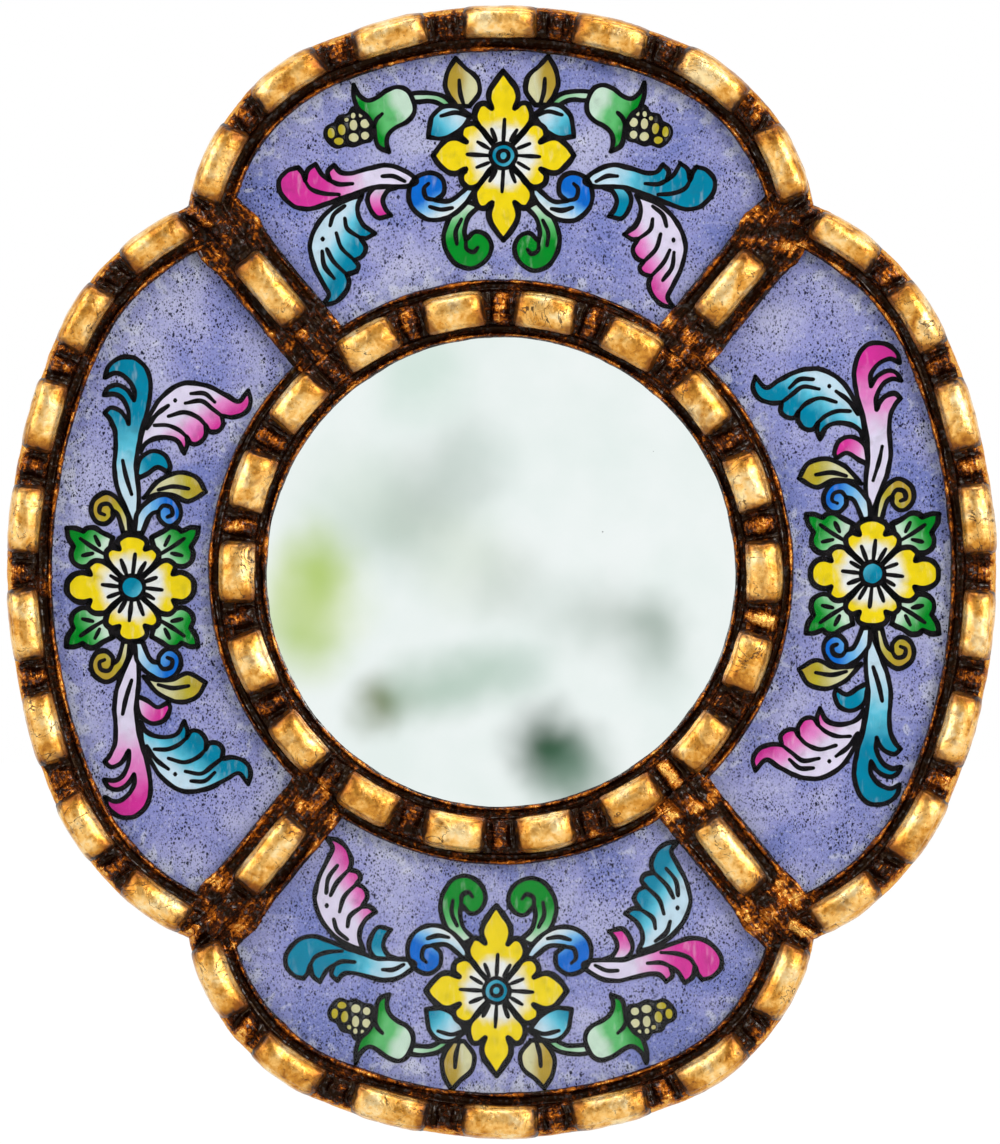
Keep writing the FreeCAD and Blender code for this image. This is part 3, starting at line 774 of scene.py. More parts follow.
@dataclass(frozen=True)
class Lobe:
    """One lobe's outline: a wide crown arc that runs on into a tighter shoulder arc at each end."""

    name: str
    bearing: float
    apex: float
    crown_radius: float
    crown_half_angle: float
    shoulder_radius: float
    blocks: int

    @property
    def crown_centre(self) -> Flat:
        """The crown arc's centre, with the lobe pointing up."""
        return 0.0, self.apex - self.crown_radius

    @property
    def shoulder_centre(self) -> Flat:
        """The right shoulder arc's centre, with the lobe pointing up."""
        x, z = polar(self.crown_half_angle, self.crown_radius - self.shoulder_radius)
        return x, z + self.crown_centre[1]

    def end_angle(self, offset: float) -> float:
        """The direction of the outline's normal where the lobe meets the next one, at an offset inwards.

        Args:
            offset: Distance inwards from the outline.

        Returns:
            The angle from the lobe's axis, in degrees.
        """
        x, z = corner(offset)
        across, up = (x, z) if self.bearing in (0.0, 180.0) else (z, x)
        cx, cz = self.shoulder_centre
        return math.degrees(math.atan2(across - cx, up - cz))

    def at(self, angle: float, offset: float) -> Flat:
        """A point whose outline normal has an angle from the lobe's axis, at an offset inwards.

        Args:
            angle: The normal's angle in degrees.
            offset: Distance inwards from the outline.

        Returns:
            x and z of the point.
        """
        size = abs(angle)
        if size <= self.crown_half_angle:
            (cx, cz), radius = self.crown_centre, self.crown_radius
        else:
            (cx, cz), radius = self.shoulder_centre, self.shoulder_radius
        x, z = polar(size, radius - offset)
        return tuple(turned([(math.copysign(cx + x, angle), cz + z)], self.bearing)[0])

    def crown_run(self, offset: float) -> float:
        """The length of half of the crown arc, at an offset inwards."""
        return math.radians(self.crown_half_angle) * (self.crown_radius - offset)

    def angle_at(self, distance: float, offset: float) -> float:
        """The normal's angle at a distance along the outline from the middle of the crown.

        Args:
            distance: Length from the middle of the crown.
            offset: Distance inwards from the outline.

        Returns:
            The angle in degrees, with the distance's sign.
        """
        run, size = self.crown_run(offset), abs(distance)
        if size <= run:
            angle = math.degrees(size / (self.crown_radius - offset))
        else:
            angle = self.crown_half_angle + math.degrees((size - run) / (self.shoulder_radius - offset))
        return math.copysign(angle, distance)

    def half_length(self, offset: float) -> float:
        """The length from the middle of the crown to the next lobe, at an offset inwards."""
        bend = math.radians(self.end_angle(offset) - self.crown_half_angle)
        return self.crown_run(offset) + bend * (self.shoulder_radius - offset)

    def fanned(self, angle: float, offset: float, middle: float) -> float:
        """Adapts an angle of the middle offset to another offset, so that all end on the mitre.

        Args:
            angle: An angle at the middle offset.
            offset: The other offset.
            middle: The middle offset.

        Returns:
            The angle at the other offset.
        """
        size = abs(angle)
        if size > self.crown_half_angle:
            share = (size - self.crown_half_angle) / (self.end_angle(middle) - self.crown_half_angle)
            size = self.crown_half_angle + share * (self.end_angle(offset) - self.crown_half_angle)
        return math.copysign(size, angle)


TALL = (100.0, 83.0, 22.5, 39.5, 7)
WIDE = (87.5, 103.5, 23.5, 45.5, 8)
LOBES = (
    Lobe("top", 0.0, *TALL),
    Lobe("right", 90.0, *WIDE),
    Lobe("bottom", 180.0, *TALL),
    Lobe("left", 270.0, *WIDE),
)


def corner(offset: float) -> Flat:
    """Where the top and right outlines meet, at an offset inwards.

    Args:
        offset: Distance inwards from the outline.

    Returns:
        x and z of the meeting point.
    """
    (ax, az), ra = LOBES[0].shoulder_centre, LOBES[0].shoulder_radius - offset
    (bz, bx), rb = LOBES[1].shoulder_centre, LOBES[1].shoulder_radius - offset
    gap = math.hypot(bx - ax, bz - az)
    along = (ra**2 - rb**2 + gap**2) / (2 * gap)
    out = math.sqrt(ra**2 - along**2)
    ux, uz = (bx - ax) / gap, (bz - az) / gap
    return ax + ux * along - uz * out, az + uz * along + ux * out


RAIL_WIDTH = 8.4
RAIL_MIDDLE = 3.1
BLOCK_TOP = 7.0
RING_RADIUS = 46.5
RING_BLOCKS = 18
SPOKE_BEARING = math.degrees(math.atan2(*corner(RAIL_WIDTH)))
SPOKES = {
    "top_right": SPOKE_BEARING,
    "bottom_right": 180 - SPOKE_BEARING,
    "bottom_left": 180 + SPOKE_BEARING,
    "top_left": 360 - SPOKE_BEARING,
}
RING_LIP = 51.5
SPOKE_HALF_WIDTH = 5.5
SPOKE_END = math.hypot(*corner(RAIL_WIDTH))
SPOKE_MIDDLE = (RING_LIP + SPOKE_END) / 2 + 0.5


@dataclass(frozen=True)
class Knot:
    """A point of a moulding's section, with how far it is rubbed and how freely it strays."""

    across: float
    height: float
    rub: float
    free: float = 1.0


def knots(*rows: tuple[float, ...]) -> tuple[Knot, ...]:
    """Makes a section from rows of numbers."""
    return tuple(Knot(*row) for row in rows)


RAIL_SECTION = knots(
    (0.5, 0.0, 1.3, 0.0), (0.4, 1.0, 1.3, 0.4), (0.42, 2.0, 1.5), (0.62, 3.0, 1.6), (1.0, 3.85, 1.4),
    (1.6, 4.45, 0.7), (2.6, 4.75, 0.4), (3.6, 4.78, 0.4), (4.5, 4.6, 0.35), (5.3, 4.2, 0.25),
    (5.8, 3.6, 0.1), (6.1, 3.0, 0.0), (6.6, 2.8, 0.0), (7.2, 2.82, 0.0), (7.5, 3.0, 0.2), (7.72, 3.28, 0.5),
    (7.95, 3.38, 0.85), (8.18, 3.2, 0.55), (8.34, 2.9, 0.2), (8.4, 2.64, 0.15), (8.25, 2.44, 0.1, 0.3),
    (7.0, 2.42, 0.0, 0.0), (6.9, 0.0, 0.0, 0.0),
)
RING_SECTION = knots(
    (-5.2, 2.64, 0.15), (-5.14, 2.88, 0.3), (-5.0, 3.16, 0.6), (-4.8, 3.34, 0.9), (-4.58, 3.24, 0.5),
    (-4.38, 3.0, 0.2), (-4.1, 2.84, 0.0), (-3.5, 2.82, 0.0), (-3.15, 3.15, 0.05), (-2.9, 3.9, 0.2),
    (-2.2, 4.5, 0.35), (-1.0, 4.76, 0.4), (0.2, 4.8, 0.4), (1.2, 4.74, 0.4), (2.3, 4.45, 0.35),
    (2.95, 3.85, 0.2), (3.2, 3.15, 0.05), (3.5, 2.84, 0.0), (4.0, 2.84, 0.0), (4.24, 3.0, 0.2),
    (4.42, 3.26, 0.5), (4.62, 3.36, 0.85), (4.82, 3.16, 0.55), (5.0, 2.66, 0.15), (4.9, 2.44, 0.1, 0.3),
    (3.4, 2.42, 0.0, 0.0), (3.4, 0.0, 0.0, 0.0), (-3.5, 0.0, 0.0, 0.0), (-3.5, 2.42, 0.0, 0.0),
    (-5.05, 2.44, 0.1, 0.3),
)
SPOKE_HALF = (
    (0.0, 4.5, 0.4), (1.0, 4.46, 0.4), (1.8, 4.2, 0.3), (2.4, 3.6, 0.15), (2.7, 3.05, 0.0), (3.2, 2.82, 0.0),
    (4.2, 2.84, 0.0), (4.5, 3.0, 0.2), (4.72, 3.26, 0.5), (4.95, 3.36, 0.8), (5.2, 3.2, 0.5),
    (SPOKE_HALF_WIDTH, 2.66, 0.15), (5.4, 2.44, 0.1, 0.3), (2.8, 2.42, 0.0, 0.0), (2.8, 0.0, 0.0, 0.0),
)
SPOKE_SECTION = knots(*SPOKE_HALF, *((-row[0], *row[1:]) for row in reversed(SPOKE_HALF[1:])))


@dataclass
class Moulding(ABC):
    """A carved moulding: a section swept along a path, uneven as hand work is, with a reel in each gap."""

    step: float = 0.32
    stray: float = 0.16
    wave: float = 0.24
    reel: float = 0.55
    reel_reach: float = 1.5
    groove: float = 0.7
    groove_place: float = 2.0
    gap_wander: float = 0.45
    glass_level: float = 2.42
    lip_level: float = 2.5
    bed_level: float = 2.85
    crest_level: float = 3.3
    crest_rise: float = 1.2
    joint_reach: float = 5.5
    joint_roughness: float = 1.6

    name: str = field(init=False)
    nodes: tuple[str, ...] = field(init=False)
    section: tuple[Knot, ...] = field(init=False)
    closed: bool = field(init=False, default=False)
    joint: Flat = field(init=False, default=(0.0, 0.0))

    @abstractmethod
    def stations(self) -> list[float]:
        """Distances along the path at which the section is set."""

    @abstractmethod
    def spot(self, distance: float, across: float) -> Flat:
        """The flat place of a section point at a distance."""

    @abstractmethod
    def gap(self, distance: float) -> float:
        """The distance from the middle of the nearest gap between blocks."""

    def lumps(self, x: float, z: float) -> float:
        """Extra roughness of a place near the joint with a spoke, as a share."""
        away = math.hypot(abs(x) - self.joint[0], abs(z) - self.joint[1])
        return self.joint_roughness * bell(away, self.joint_reach)

    def fine_section(self) -> list[Knot]:
        """The section with a smooth point between each pair.

        Returns:
            The finer section.
        """
        made, count = [], len(self.section)
        for i, here in enumerate(self.section):
            before, after, far = (self.section[(i + k) % count] for k in (-1, 1, 2))
            made.append(here)
            firm = min(here.free, after.free) == 0.0
            blend = [
                (a + b) / 2 if firm else (9 * (a + b) - (p + q)) / 16
                for p, a, b, q in zip(
                    (before.across, before.height), (here.across, here.height),
                    (after.across, after.height), (far.across, far.height),
                )
            ]
            made.append(Knot(*blend, (here.rub + after.rub) / 2, (here.free + after.free) / 2))
        return made

    @staticmethod
    def tilts(section: list[Knot]) -> list[Flat]:
        """The direction out of the section at each of its points.

        Args:
            section: The points.

        Returns:
            One direction, across and up, for each point.
        """
        made = []
        for i in range(len(section)):
            before, after = section[i - 1], section[(i + 1) % len(section)]
            run = Vector((after.across - before.across, after.height - before.height)).normalized()
            made.append((-run.y, run.x))
        return made

    def carved(self, distance: float, knot: Knot, tilt: Flat) -> tuple[Flat, float, float]:
        """Carves one point of the section.

        Args:
            distance: Its place along the path.
            knot: The point of the section.
            tilt: The direction out of the section there.

        Returns:
            Its flat place, its height and how far it is rubbed.
        """
        x, z = self.spot(distance, knot.across)
        away = abs(self.gap(distance) + self.gap_wander * rough(x, z, 30, 2.4, 2))
        lump, own = self.lumps(x, z), rough(x, z, 40, 9.0, 1)
        crest = min(1.0, max(0.0, (knot.height - self.crest_level) / self.crest_rise))
        above = knot.height > self.lip_level
        push = self.stray * (0.4 + 0.6 * crest + lump) * rough(x, z, knot.height * 2, 1.5)
        push = knot.free * (push + self.wave * rough(x + 90, z, 0, 7.0, 2))
        height = knot.height + (tilt[1] * push if above else 0.0)
        height -= (1 - crest) * max(0.0, knot.height - self.bed_level) * min(1.0, lump)
        swell = 1 + own + 0.5 * rough(x, z, 21, 1.4)
        shaped = self.reel * swell * max(0.0, 1 - (away / self.reel_reach) ** 2)
        shaped -= self.groove * bell(away - self.groove_place, 0.6)
        height += knot.free * crest * (shaped + lump * 0.55 * rough(x, z, 9, 2.2))
        if above and knot.free == 1.0:
            height = max(height, self.glass_level)
        rub = knot.rub * (1 - min(1.0, lump * 0.7))
        rub += lump * (0.36 + 0.0016 * (x - z) + 0.7 * rough(x, z, 3, 2.8))
        glint = (0.4 + 0.9 * own + 0.35 * rough(x, z, 0, 1.2)) * max(0.0, 1 - (away / 1.4) ** 2)
        rub += crest * (glint - 0.6 * bell(away - self.groove_place, 0.7))
        return self.spot(distance, knot.across + tilt[0] * push), min(BLOCK_TOP, height), max(0.0, rub)

    def build(self) -> bpy.types.Object:
        """Sweeps the section, carves it and puts the piece in the scene.

        Returns:
            The piece.
        """
        section, stations = self.fine_section(), self.stations()
        tilts = self.tilts(section)
        count, rows = len(section), len(stations)
        middle = (stations[0] + stations[-1]) / 2
        skin = Surface()
        for distance in stations:
            run = abs(distance - middle) * MM
            for knot, tilt in zip(section, tilts):
                (x, z), height, rub = self.carved(distance, knot, tilt)
                skin.add(x, z, height, rub=rub, run=run, lane=knot.across * MM)
        for row in range(rows if self.closed else rows - 1):
            a, b = row * count, (row + 1) % rows * count
            skin.faces += [(a + i, a + (i + 1) % count, b + (i + 1) % count, b + i) for i in range(count)]
        if not self.closed:
            skin.faces += [tuple(range(count)), tuple(range((rows - 1) * count, rows * count))]
        return join_in(self.name, skin.mesh(self.name, True), DARK_PATINA, "patina", *self.nodes)

    @staticmethod
    def even(low: float, high: float, step: float) -> list[float]:
        """Even distances from low to high."""
        count = max(2, round((high - low) / step))
        return [low + (high - low) * i / count for i in range(count + 1)]


@dataclass
class Rail(Moulding):
    """The outer moulding of one lobe, mitred to its neighbours."""

    lobe: Lobe = LOBES[0]
    joint_inset: float = 5.0

    def __post_init__(self) -> None:
        """Names the piece after its lobe."""
        self.name, self.nodes = f"carved_rail_{self.lobe.name}", (f"rail_{self.lobe.name}",)
        self.section, self.joint = RAIL_SECTION, corner(self.joint_inset)

    def stations(self) -> list[float]:
        """Distances along the middle line of the blocks."""
        half = self.lobe.half_length(RAIL_MIDDLE)
        return self.even(-half, half, self.step)

    def spot(self, distance: float, across: float) -> Flat:
        """A place on the rail; across is the offset from the outline."""
        angle = self.lobe.angle_at(distance, RAIL_MIDDLE)
        return self.lobe.at(self.lobe.fanned(angle, across, RAIL_MIDDLE), across)

    def gap(self, distance: float) -> float:
        """The distance from the nearest gap; the mitres at both ends are gaps too.

        Args:
            distance: Length along the middle line.

        Returns:
            The distance, with its sign.
        """
        half = self.lobe.half_length(RAIL_MIDDLE)
        pitch = 2 * half / self.lobe.blocks
        place = (distance + half) / pitch
        return (place - round(place)) * pitch


@dataclass
class Ring(Moulding):
    """The round moulding between the mirror and the panes."""

    joint_offset: float = 4.0
    joint_reach: float = 5.0
    joint_roughness: float = 1.4

    def __post_init__(self) -> None:
        """Names the piece."""
        self.name, self.nodes = "carved_ring", ("ring_moulding",)
        self.section, self.closed = RING_SECTION, True
        self.joint = polar(SPOKE_BEARING, RING_RADIUS + self.joint_offset)

    def stations(self) -> list[float]:
        """Distances round the middle line, without the repeated end."""
        return self.even(0.0, 2 * math.pi * RING_RADIUS, self.step)[:-1]

    def spot(self, distance: float, across: float) -> Flat:
        """A place on the ring; across is the offset outwards from the middle line."""
        return polar(math.degrees(distance / RING_RADIUS), RING_RADIUS + across)

    def gap(self, distance: float) -> float:
        """The distance from the nearest gap, one of which points straight up."""
        pitch = 2 * math.pi * RING_RADIUS / RING_BLOCKS
        return (distance / pitch - round(distance / pitch)) * pitch


@dataclass
class Spoke(Moulding):
    """A straight moulding between two panes, from the ring to the corner of the rails."""

    corner_name: str = "top_right"
    start_offset: float = 2.6
    flare: float = 0.12
    flare_reach: float = 2.6
    lip_from: float = 3.0
    groove_offset: float = 8.2
    gap_floor: float = 1.3
    gap_lift: float = 1.85
    inner_end: float = 2.0
    inner_reach: float = 3.5
    outer_reach: float = 4.5

    def __post_init__(self) -> None:
        """Names the piece after its corner."""
        self.name, self.nodes = f"carved_spoke_{self.corner_name}", (f"spoke_{self.corner_name}",)
        self.section = SPOKE_SECTION

    def stations(self) -> list[float]:
        """Distances from the middle of the mirror."""
        return self.even(RING_RADIUS + self.start_offset, math.hypot(*corner(RAIL_MIDDLE)), self.step)

    def spot(self, distance: float, across: float) -> Flat:
        """A place on the spoke; across is to its right, and the lips flare towards the rails."""
        wider = self.flare * bell(distance - SPOKE_END, self.flare_reach) * (abs(across) > self.lip_from)
        return turned([(across * (1 + wider), distance)], SPOKES[self.corner_name])[0]

    def gap(self, distance: float) -> float:
        """A distance that puts a groove just past each end of the block and no reel."""
        return max(self.gap_floor, abs(abs(distance - SPOKE_MIDDLE) - self.groove_offset) + self.gap_lift)

    def lumps(self, x: float, z: float) -> float:
        """Both ends of the spoke are rough.

        Args:
            x: Place to the right.
            z: Place upwards.

        Returns:
            The extra roughness.
        """
        distance = math.hypot(x, z)
        inner = bell(distance - RING_LIP - self.inner_end, self.inner_reach)
        return self.joint_roughness * (inner + bell(distance - SPOKE_END, self.outer_reach))


@dataclass
class CarvedBlocks:
    """A row of gilded pillow blocks, laid along points by one node tree that all rows share."""

    name: str
    nodes: tuple[str, ...]
    places: list[tuple[float, float, float, float]]
    length: float
    width: float
    top: float = BLOCK_TOP
    foot: float = 3.4
    edge_round: float = 1.15
    bulge: float = 1.15
    wobble: float = 0.2
    slope: float = 0.9
    taper: float = 0.09
    seed: int = 1

    TREE = "pillow_blocks"
    NUMBERS = ("Length", "Depth", "Width", "Round", "Bulge", "Wobble", "Slope", "Taper")

    def tree(self) -> bpy.types.NodeTree:
        """Finds the node tree that all rows share, or makes it at the first call.

        Returns:
            The tree.
        """
        found = bpy.data.node_groups.get(self.TREE)
        if found is not None:
            return found
        made = bpy.data.node_groups.new(self.TREE, "GeometryNodeTree")
        graph = Graph(made)
        face = made.interface
        face.new_socket("Points", in_out="INPUT", socket_type="NodeSocketGeometry")
        for name in self.NUMBERS:
            face.new_socket(name, in_out="INPUT", socket_type="NodeSocketFloat")
        face.new_socket("Seed", in_out="INPUT", socket_type="NodeSocketInt")
        face.new_socket("Finish", in_out="INPUT", socket_type="NodeSocketMaterial")
        face.new_socket("Blocks", in_out="OUTPUT", socket_type="NodeSocketGeometry")
        given = graph.add("NodeGroupInput").socket.node
        inputs = {socket.name: Wire(graph, socket) for socket in given.outputs if socket.name}
        graph.add("NodeGroupOutput", {}, {"Blocks": self.laid(graph, inputs)})
        return made

    @staticmethod
    def stored(graph: Graph, mesh: Wire, name: str, value: Wire) -> Wire:
        """Stores a number on each point under a name.

        Args:
            graph: The tree to build in.
            mesh: The geometry.
            name: The name.
            value: The number.

        Returns:
            The geometry with the number on it.
        """
        settings = {"data_type": "FLOAT", "domain": "POINT"}
        sockets = {"Geometry": mesh, "Name": name, "Value": value}
        return graph.add("GeometryNodeStoreNamedAttribute", settings, sockets)

    @staticmethod
    def named(graph: Graph, name: str) -> Wire:
        """Reads a number stored on each point."""
        return graph.add("GeometryNodeInputNamedAttribute", {"data_type": "FLOAT"}, {"Name": name})

    def pillow(self, graph: Graph, given: dict[str, Wire]) -> Wire:
        """One block: a fine box whose edges are rounded and whose face swells.

        Args:
            graph: The tree to build in.
            given: The tree's inputs by name.

        Returns:
            The block.
        """
        size = graph.joined(given["Length"], given["Depth"], given["Width"])
        half = size.scaled(0.5)
        counts = {"Size": size, "Vertices X": 26, "Vertices Y": 10, "Vertices Z": 16}
        made = graph.add("GeometryNodeMeshCube", {}, counts, "Mesh")
        unit = graph.add("GeometryNodeInputPosition").vector("DIVIDE", half)
        crowded = unit.scaled(math.pi / 2).vector("SINE")
        place = crowded.vector("MULTIPLY", half)
        radius = graph.joined(given["Round"] * 0.7, given["Round"], given["Round"])
        core = half.vector("SUBTRACT", radius)
        nearest = place.vector("MAXIMUM", core.scaled(-1.0)).vector("MINIMUM", core)
        out = place.vector("SUBTRACT", nearest).vector("DIVIDE", radius).vector("NORMALIZE")
        rounded = nearest.vector("ADD", out.vector("MULTIPLY", radius))
        (ux, uy, uz), (rx, ry, rz) = crowded.parts(), rounded.parts()
        high = 0.5 - uy * 0.5
        swell = (1.0 - ux**4.0) * (1.0 - uz * uz) * high * given["Bulge"]
        drawn_in = rx * (1.0 - high * given["Taper"])
        lean = high * uz.maths("MAXIMUM", 0.0) ** 2.0 * given["Slope"]
        soft_corner = ux**6.0 * uz * given["Round"] * 0.36
        moved = graph.joined(drawn_in, ry + given["Bulge"] - swell, rz - lean - soft_corner)
        values = {"foot": uy * 0.5 + 0.5, "end": abs(ux), "rim": uz, "along": rx}
        for key, value in values.items():
            made = self.stored(graph, made, key, value)
        return graph.add("GeometryNodeSetPosition", {}, {"Geometry": made, "Position": moved})

    def laid(self, graph: Graph, given: dict[str, Wire]) -> Wire:
        """The blocks on their points, each a little different, bent to the outline and uneven.

        Args:
            graph: The tree to build in.
            given: The tree's inputs by name.

        Returns:
            The finished row.
        """
        block = self.pillow(graph, given)
        sizes = {"Min": (0.965, 1.0, 0.97), "Max": (1.03, 1.0, 1.0), "Seed": given["Seed"]}
        scale = graph.add("FunctionNodeRandomValue", {"data_type": "FLOAT_VECTOR"}, sizes)
        turns = {"Min_001": -0.028, "Max_001": 0.028, "Seed": given["Seed"]}
        tilt = graph.add("FunctionNodeRandomValue", {"data_type": "FLOAT"}, turns, "Value_001")
        bearing, along = self.named(graph, "bearing"), self.named(graph, "along")
        rotation = graph.add("FunctionNodeEulerToRotation", {}, {0: graph.joined(y=bearing + tilt)})
        sockets = {"Points": given["Points"], "Instance": block, "Rotation": rotation, "Scale": scale}
        copies = graph.add("GeometryNodeInstanceOnPoints", {}, sockets)
        real = graph.add("GeometryNodeRealizeInstances", {}, {0: copies})
        sag = along * along * self.named(graph, "bend") * -0.5
        push = graph.joined(bearing.maths("SINE") * sag, 0.0, bearing.maths("COSINE") * sag)
        place = graph.add("GeometryNodeInputPosition")
        for size, share in ((4.5, 1.0), (1.3, 0.45)):
            push = push.vector("ADD", graph.push(place, size).scaled(given["Wobble"] * share * 2.0))
        moved = graph.add("GeometryNodeSetPosition", {}, {"Geometry": real, "Offset": push})
        smooth = graph.add("GeometryNodeSetShadeSmooth", {}, {0: moved})
        return graph.add("GeometryNodeSetMaterial", {}, {"Geometry": smooth, "Material": given["Finish"]})

    def build(self) -> bpy.types.Object:
        """Runs the node tree on this row's points and keeps the result as a plain mesh.

        Returns:
            The piece.
        """
        depth = BOARD_THICKNESS + (self.top + self.foot) / 2
        seeds = bpy.data.meshes.new(f"{self.name}_points")
        seeds.from_pydata([Vector((x, -depth, z)) * MM for x, z, *_ in self.places], [], [])
        stored = {"bearing": [p[2] for p in self.places], "bend": [p[3] / MM for p in self.places]}
        for key, listed in stored.items():
            seeds.attributes.new(key, "FLOAT", "POINT").data.foreach_set("value", listed)
        carrier = bpy.data.objects.new(f"{self.name}_carrier", seeds)
        bpy.context.scene.collection.objects.link(carrier)
        modifier = carrier.modifiers.new(self.TREE, "NODES")
        modifier.node_group = self.tree()
        sizes = (self.length, self.top - self.foot, self.width, self.edge_round)
        sizes += (self.bulge, self.wobble, self.slope)
        wanted = {name: size * MM for name, size in zip(self.NUMBERS, sizes)}
        wanted.update(Taper=self.taper, Seed=self.seed, Finish=GOLD_LEAF.material())
        for item in modifier.node_group.interface.items_tree:
            if item.name in wanted:
                modifier[item.identifier] = wanted[item.name]
        graph = bpy.context.evaluated_depsgraph_get()
        mesh = bpy.data.meshes.new_from_object(carrier.evaluated_get(graph), depsgraph=graph)
        bpy.data.objects.remove(carrier)
        bpy.data.meshes.remove(seeds)
        mesh.name = self.name
        for vertex in mesh.vertices:
            vertex.co = inside_box(vertex.co)
        return join_in(self.name, mesh, GOLD_LEAF, "gilt", *self.nodes)


RAIL_BLOCK_WIDTH = 6.2
RAIL_BLOCK_GAP = 5.2
RING_BLOCK_WIDTH = 6.7
RING_BLOCK_GAP = 4.7
RING_SEED = 9
SPOKE_BLOCK_LENGTH = 15.6
SPOKE_BLOCK_WIDTH = 6.1
SPOKE_BLOCK_TOP = 6.7
SPOKE_BLOCK_FOOT = 3.2
FIRST_SPOKE_SEED = 20


def rail_blocks(lobe: Lobe, seed: int) -> CarvedBlocks:
    """The blocks along one lobe's rail.

    Args:
        lobe: The lobe.
        seed: Start of the row's random draws.

    Returns:
        The row.
    """
    half = lobe.half_length(RAIL_MIDDLE)
    pitch = 2 * half / lobe.blocks
    places = []
    for i in range(lobe.blocks):
        angle = lobe.angle_at(-half + (i + 0.5) * pitch, RAIL_MIDDLE)
        x, z = lobe.at(angle, RAIL_BLOCK_WIDTH / 2)
        radius = lobe.crown_radius if abs(angle) <= lobe.crown_half_angle else lobe.shoulder_radius
        places.append((x, z, math.radians(angle + lobe.bearing), 1 / radius))
    name, nodes = f"gilt_blocks_{lobe.name}", (f"blocks_{lobe.name}",)
    return CarvedBlocks(name, nodes, places, pitch - RAIL_BLOCK_GAP, RAIL_BLOCK_WIDTH, seed=seed)


def ring_blocks() -> CarvedBlocks:
    """The blocks round the ring.

    Returns:
        The row.
    """
    turn = 360 / RING_BLOCKS
    bearings = [turn * (i + 0.5) for i in range(RING_BLOCKS)]
    places = [(*polar(b, RING_RADIUS), math.radians(b), 1 / RING_RADIUS) for b in bearings]
    length = math.radians(turn) * RING_RADIUS - RING_BLOCK_GAP
    name, nodes = "gilt_blocks_ring", ("ring_blocks",)
    return CarvedBlocks(name, nodes, places, length, RING_BLOCK_WIDTH, slope=0.3, seed=RING_SEED)


def spoke_block(name: str, seed: int) -> CarvedBlocks:
    """The block on one spoke.

    Args:
        name: The spoke's corner.
        seed: Start of the row's random draws.

    Returns:
        A row of one block.
    """
    bearing = SPOKES[name]
    return CarvedBlocks(
        name=f"gilt_block_{name}",
        nodes=(f"spoke_block_{name}",),
        places=[(*polar(bearing, SPOKE_MIDDLE), math.radians(bearing + 90), 0.0)],
        length=SPOKE_BLOCK_LENGTH,
        width=SPOKE_BLOCK_WIDTH,
        top=SPOKE_BLOCK_TOP,
        foot=SPOKE_BLOCK_FOOT,
        bulge=0.9,
        slope=0.2,
        seed=seed,
    )


class Paint(Enum):
    """Colours of the ornament."""

    WHITE = (232, 232, 230)
    YELLOW = (236, 208, 20)
    OLIVE = (182, 166, 40)
    OCHRE = (180, 150, 52)
    STRAW = (208, 204, 160)
    TURQUOISE = (0, 128, 160)
    AQUA = (92, 190, 214)
    ICE = (192, 216, 230)
    MAGENTA = (210, 50, 150)
    PINK = (224, 132, 196)
    BLUSH = (218, 208, 230)
    BLUE = (8, 102, 200)
    SKY = (104, 176, 228)
    GREEN = (0, 134, 34)
    LEAF = (96, 184, 110)
    MINT = (198, 222, 202)
    INK = (16, 14, 16)


class Hue(Enum):
    """The two plume colours, which change places between the halves of a pane."""

    TURQUOISE = (Paint.ICE, Paint.ICE, Paint.AQUA, Paint.TURQUOISE, Paint.TURQUOISE)
    MAGENTA = (Paint.BLUSH, Paint.BLUSH, Paint.BLUSH, Paint.PINK, Paint.MAGENTA)


def curve(points: Knots, closed: bool, steps: int = 7) -> list[Marked]:
    """Runs a smooth line through points.

    Args:
        points: Flat points; one with a third value is a sharp corner.
        closed: True if the line returns to its start.
        steps: Places per stretch between two points.

    Returns:
        Places along the line, each marked if it is a sharp corner.
    """
    listed = list(points)
    sharp = [i for i, p in enumerate(listed) if len(p) > 2]
    if closed and sharp:
        listed = listed[sharp[0]:] + listed[: sharp[0]] + [listed[sharp[0]]]
    elif closed:
        listed = listed + [listed[0]]
    last = len(listed) - 1
    loop = closed and not sharp
    made: list[Marked] = []
    for i in range(last):
        a, b = Vector(listed[i][:2]), Vector(listed[i + 1][:2])
        stop_a, stop_b = len(listed[i]) > 2, len(listed[i + 1]) > 2
        before = listed[i - 1 if i else (last - 1 if loop else 0)]
        after = listed[i + 2 if i + 2 <= last else (1 if loop else last)]
        start = (b - a) if stop_a or (i == 0 and not loop) else (b - Vector(before[:2])) / 2
        end = (b - a) if stop_b or (i + 1 == last and not loop) else (Vector(after[:2]) - a) / 2
        for k in range(steps):
            t = k / steps
            p = a * (2 * t**3 - 3 * t**2 + 1) + start * (t**3 - 2 * t**2 + t)
            p += b * (3 * t**2 - 2 * t**3) + end * (t**3 - t**2)
            made.append((p.x, p.y, stop_a and k == 0))
    if not closed:
        made.append((*listed[last][:2], False))
    return made


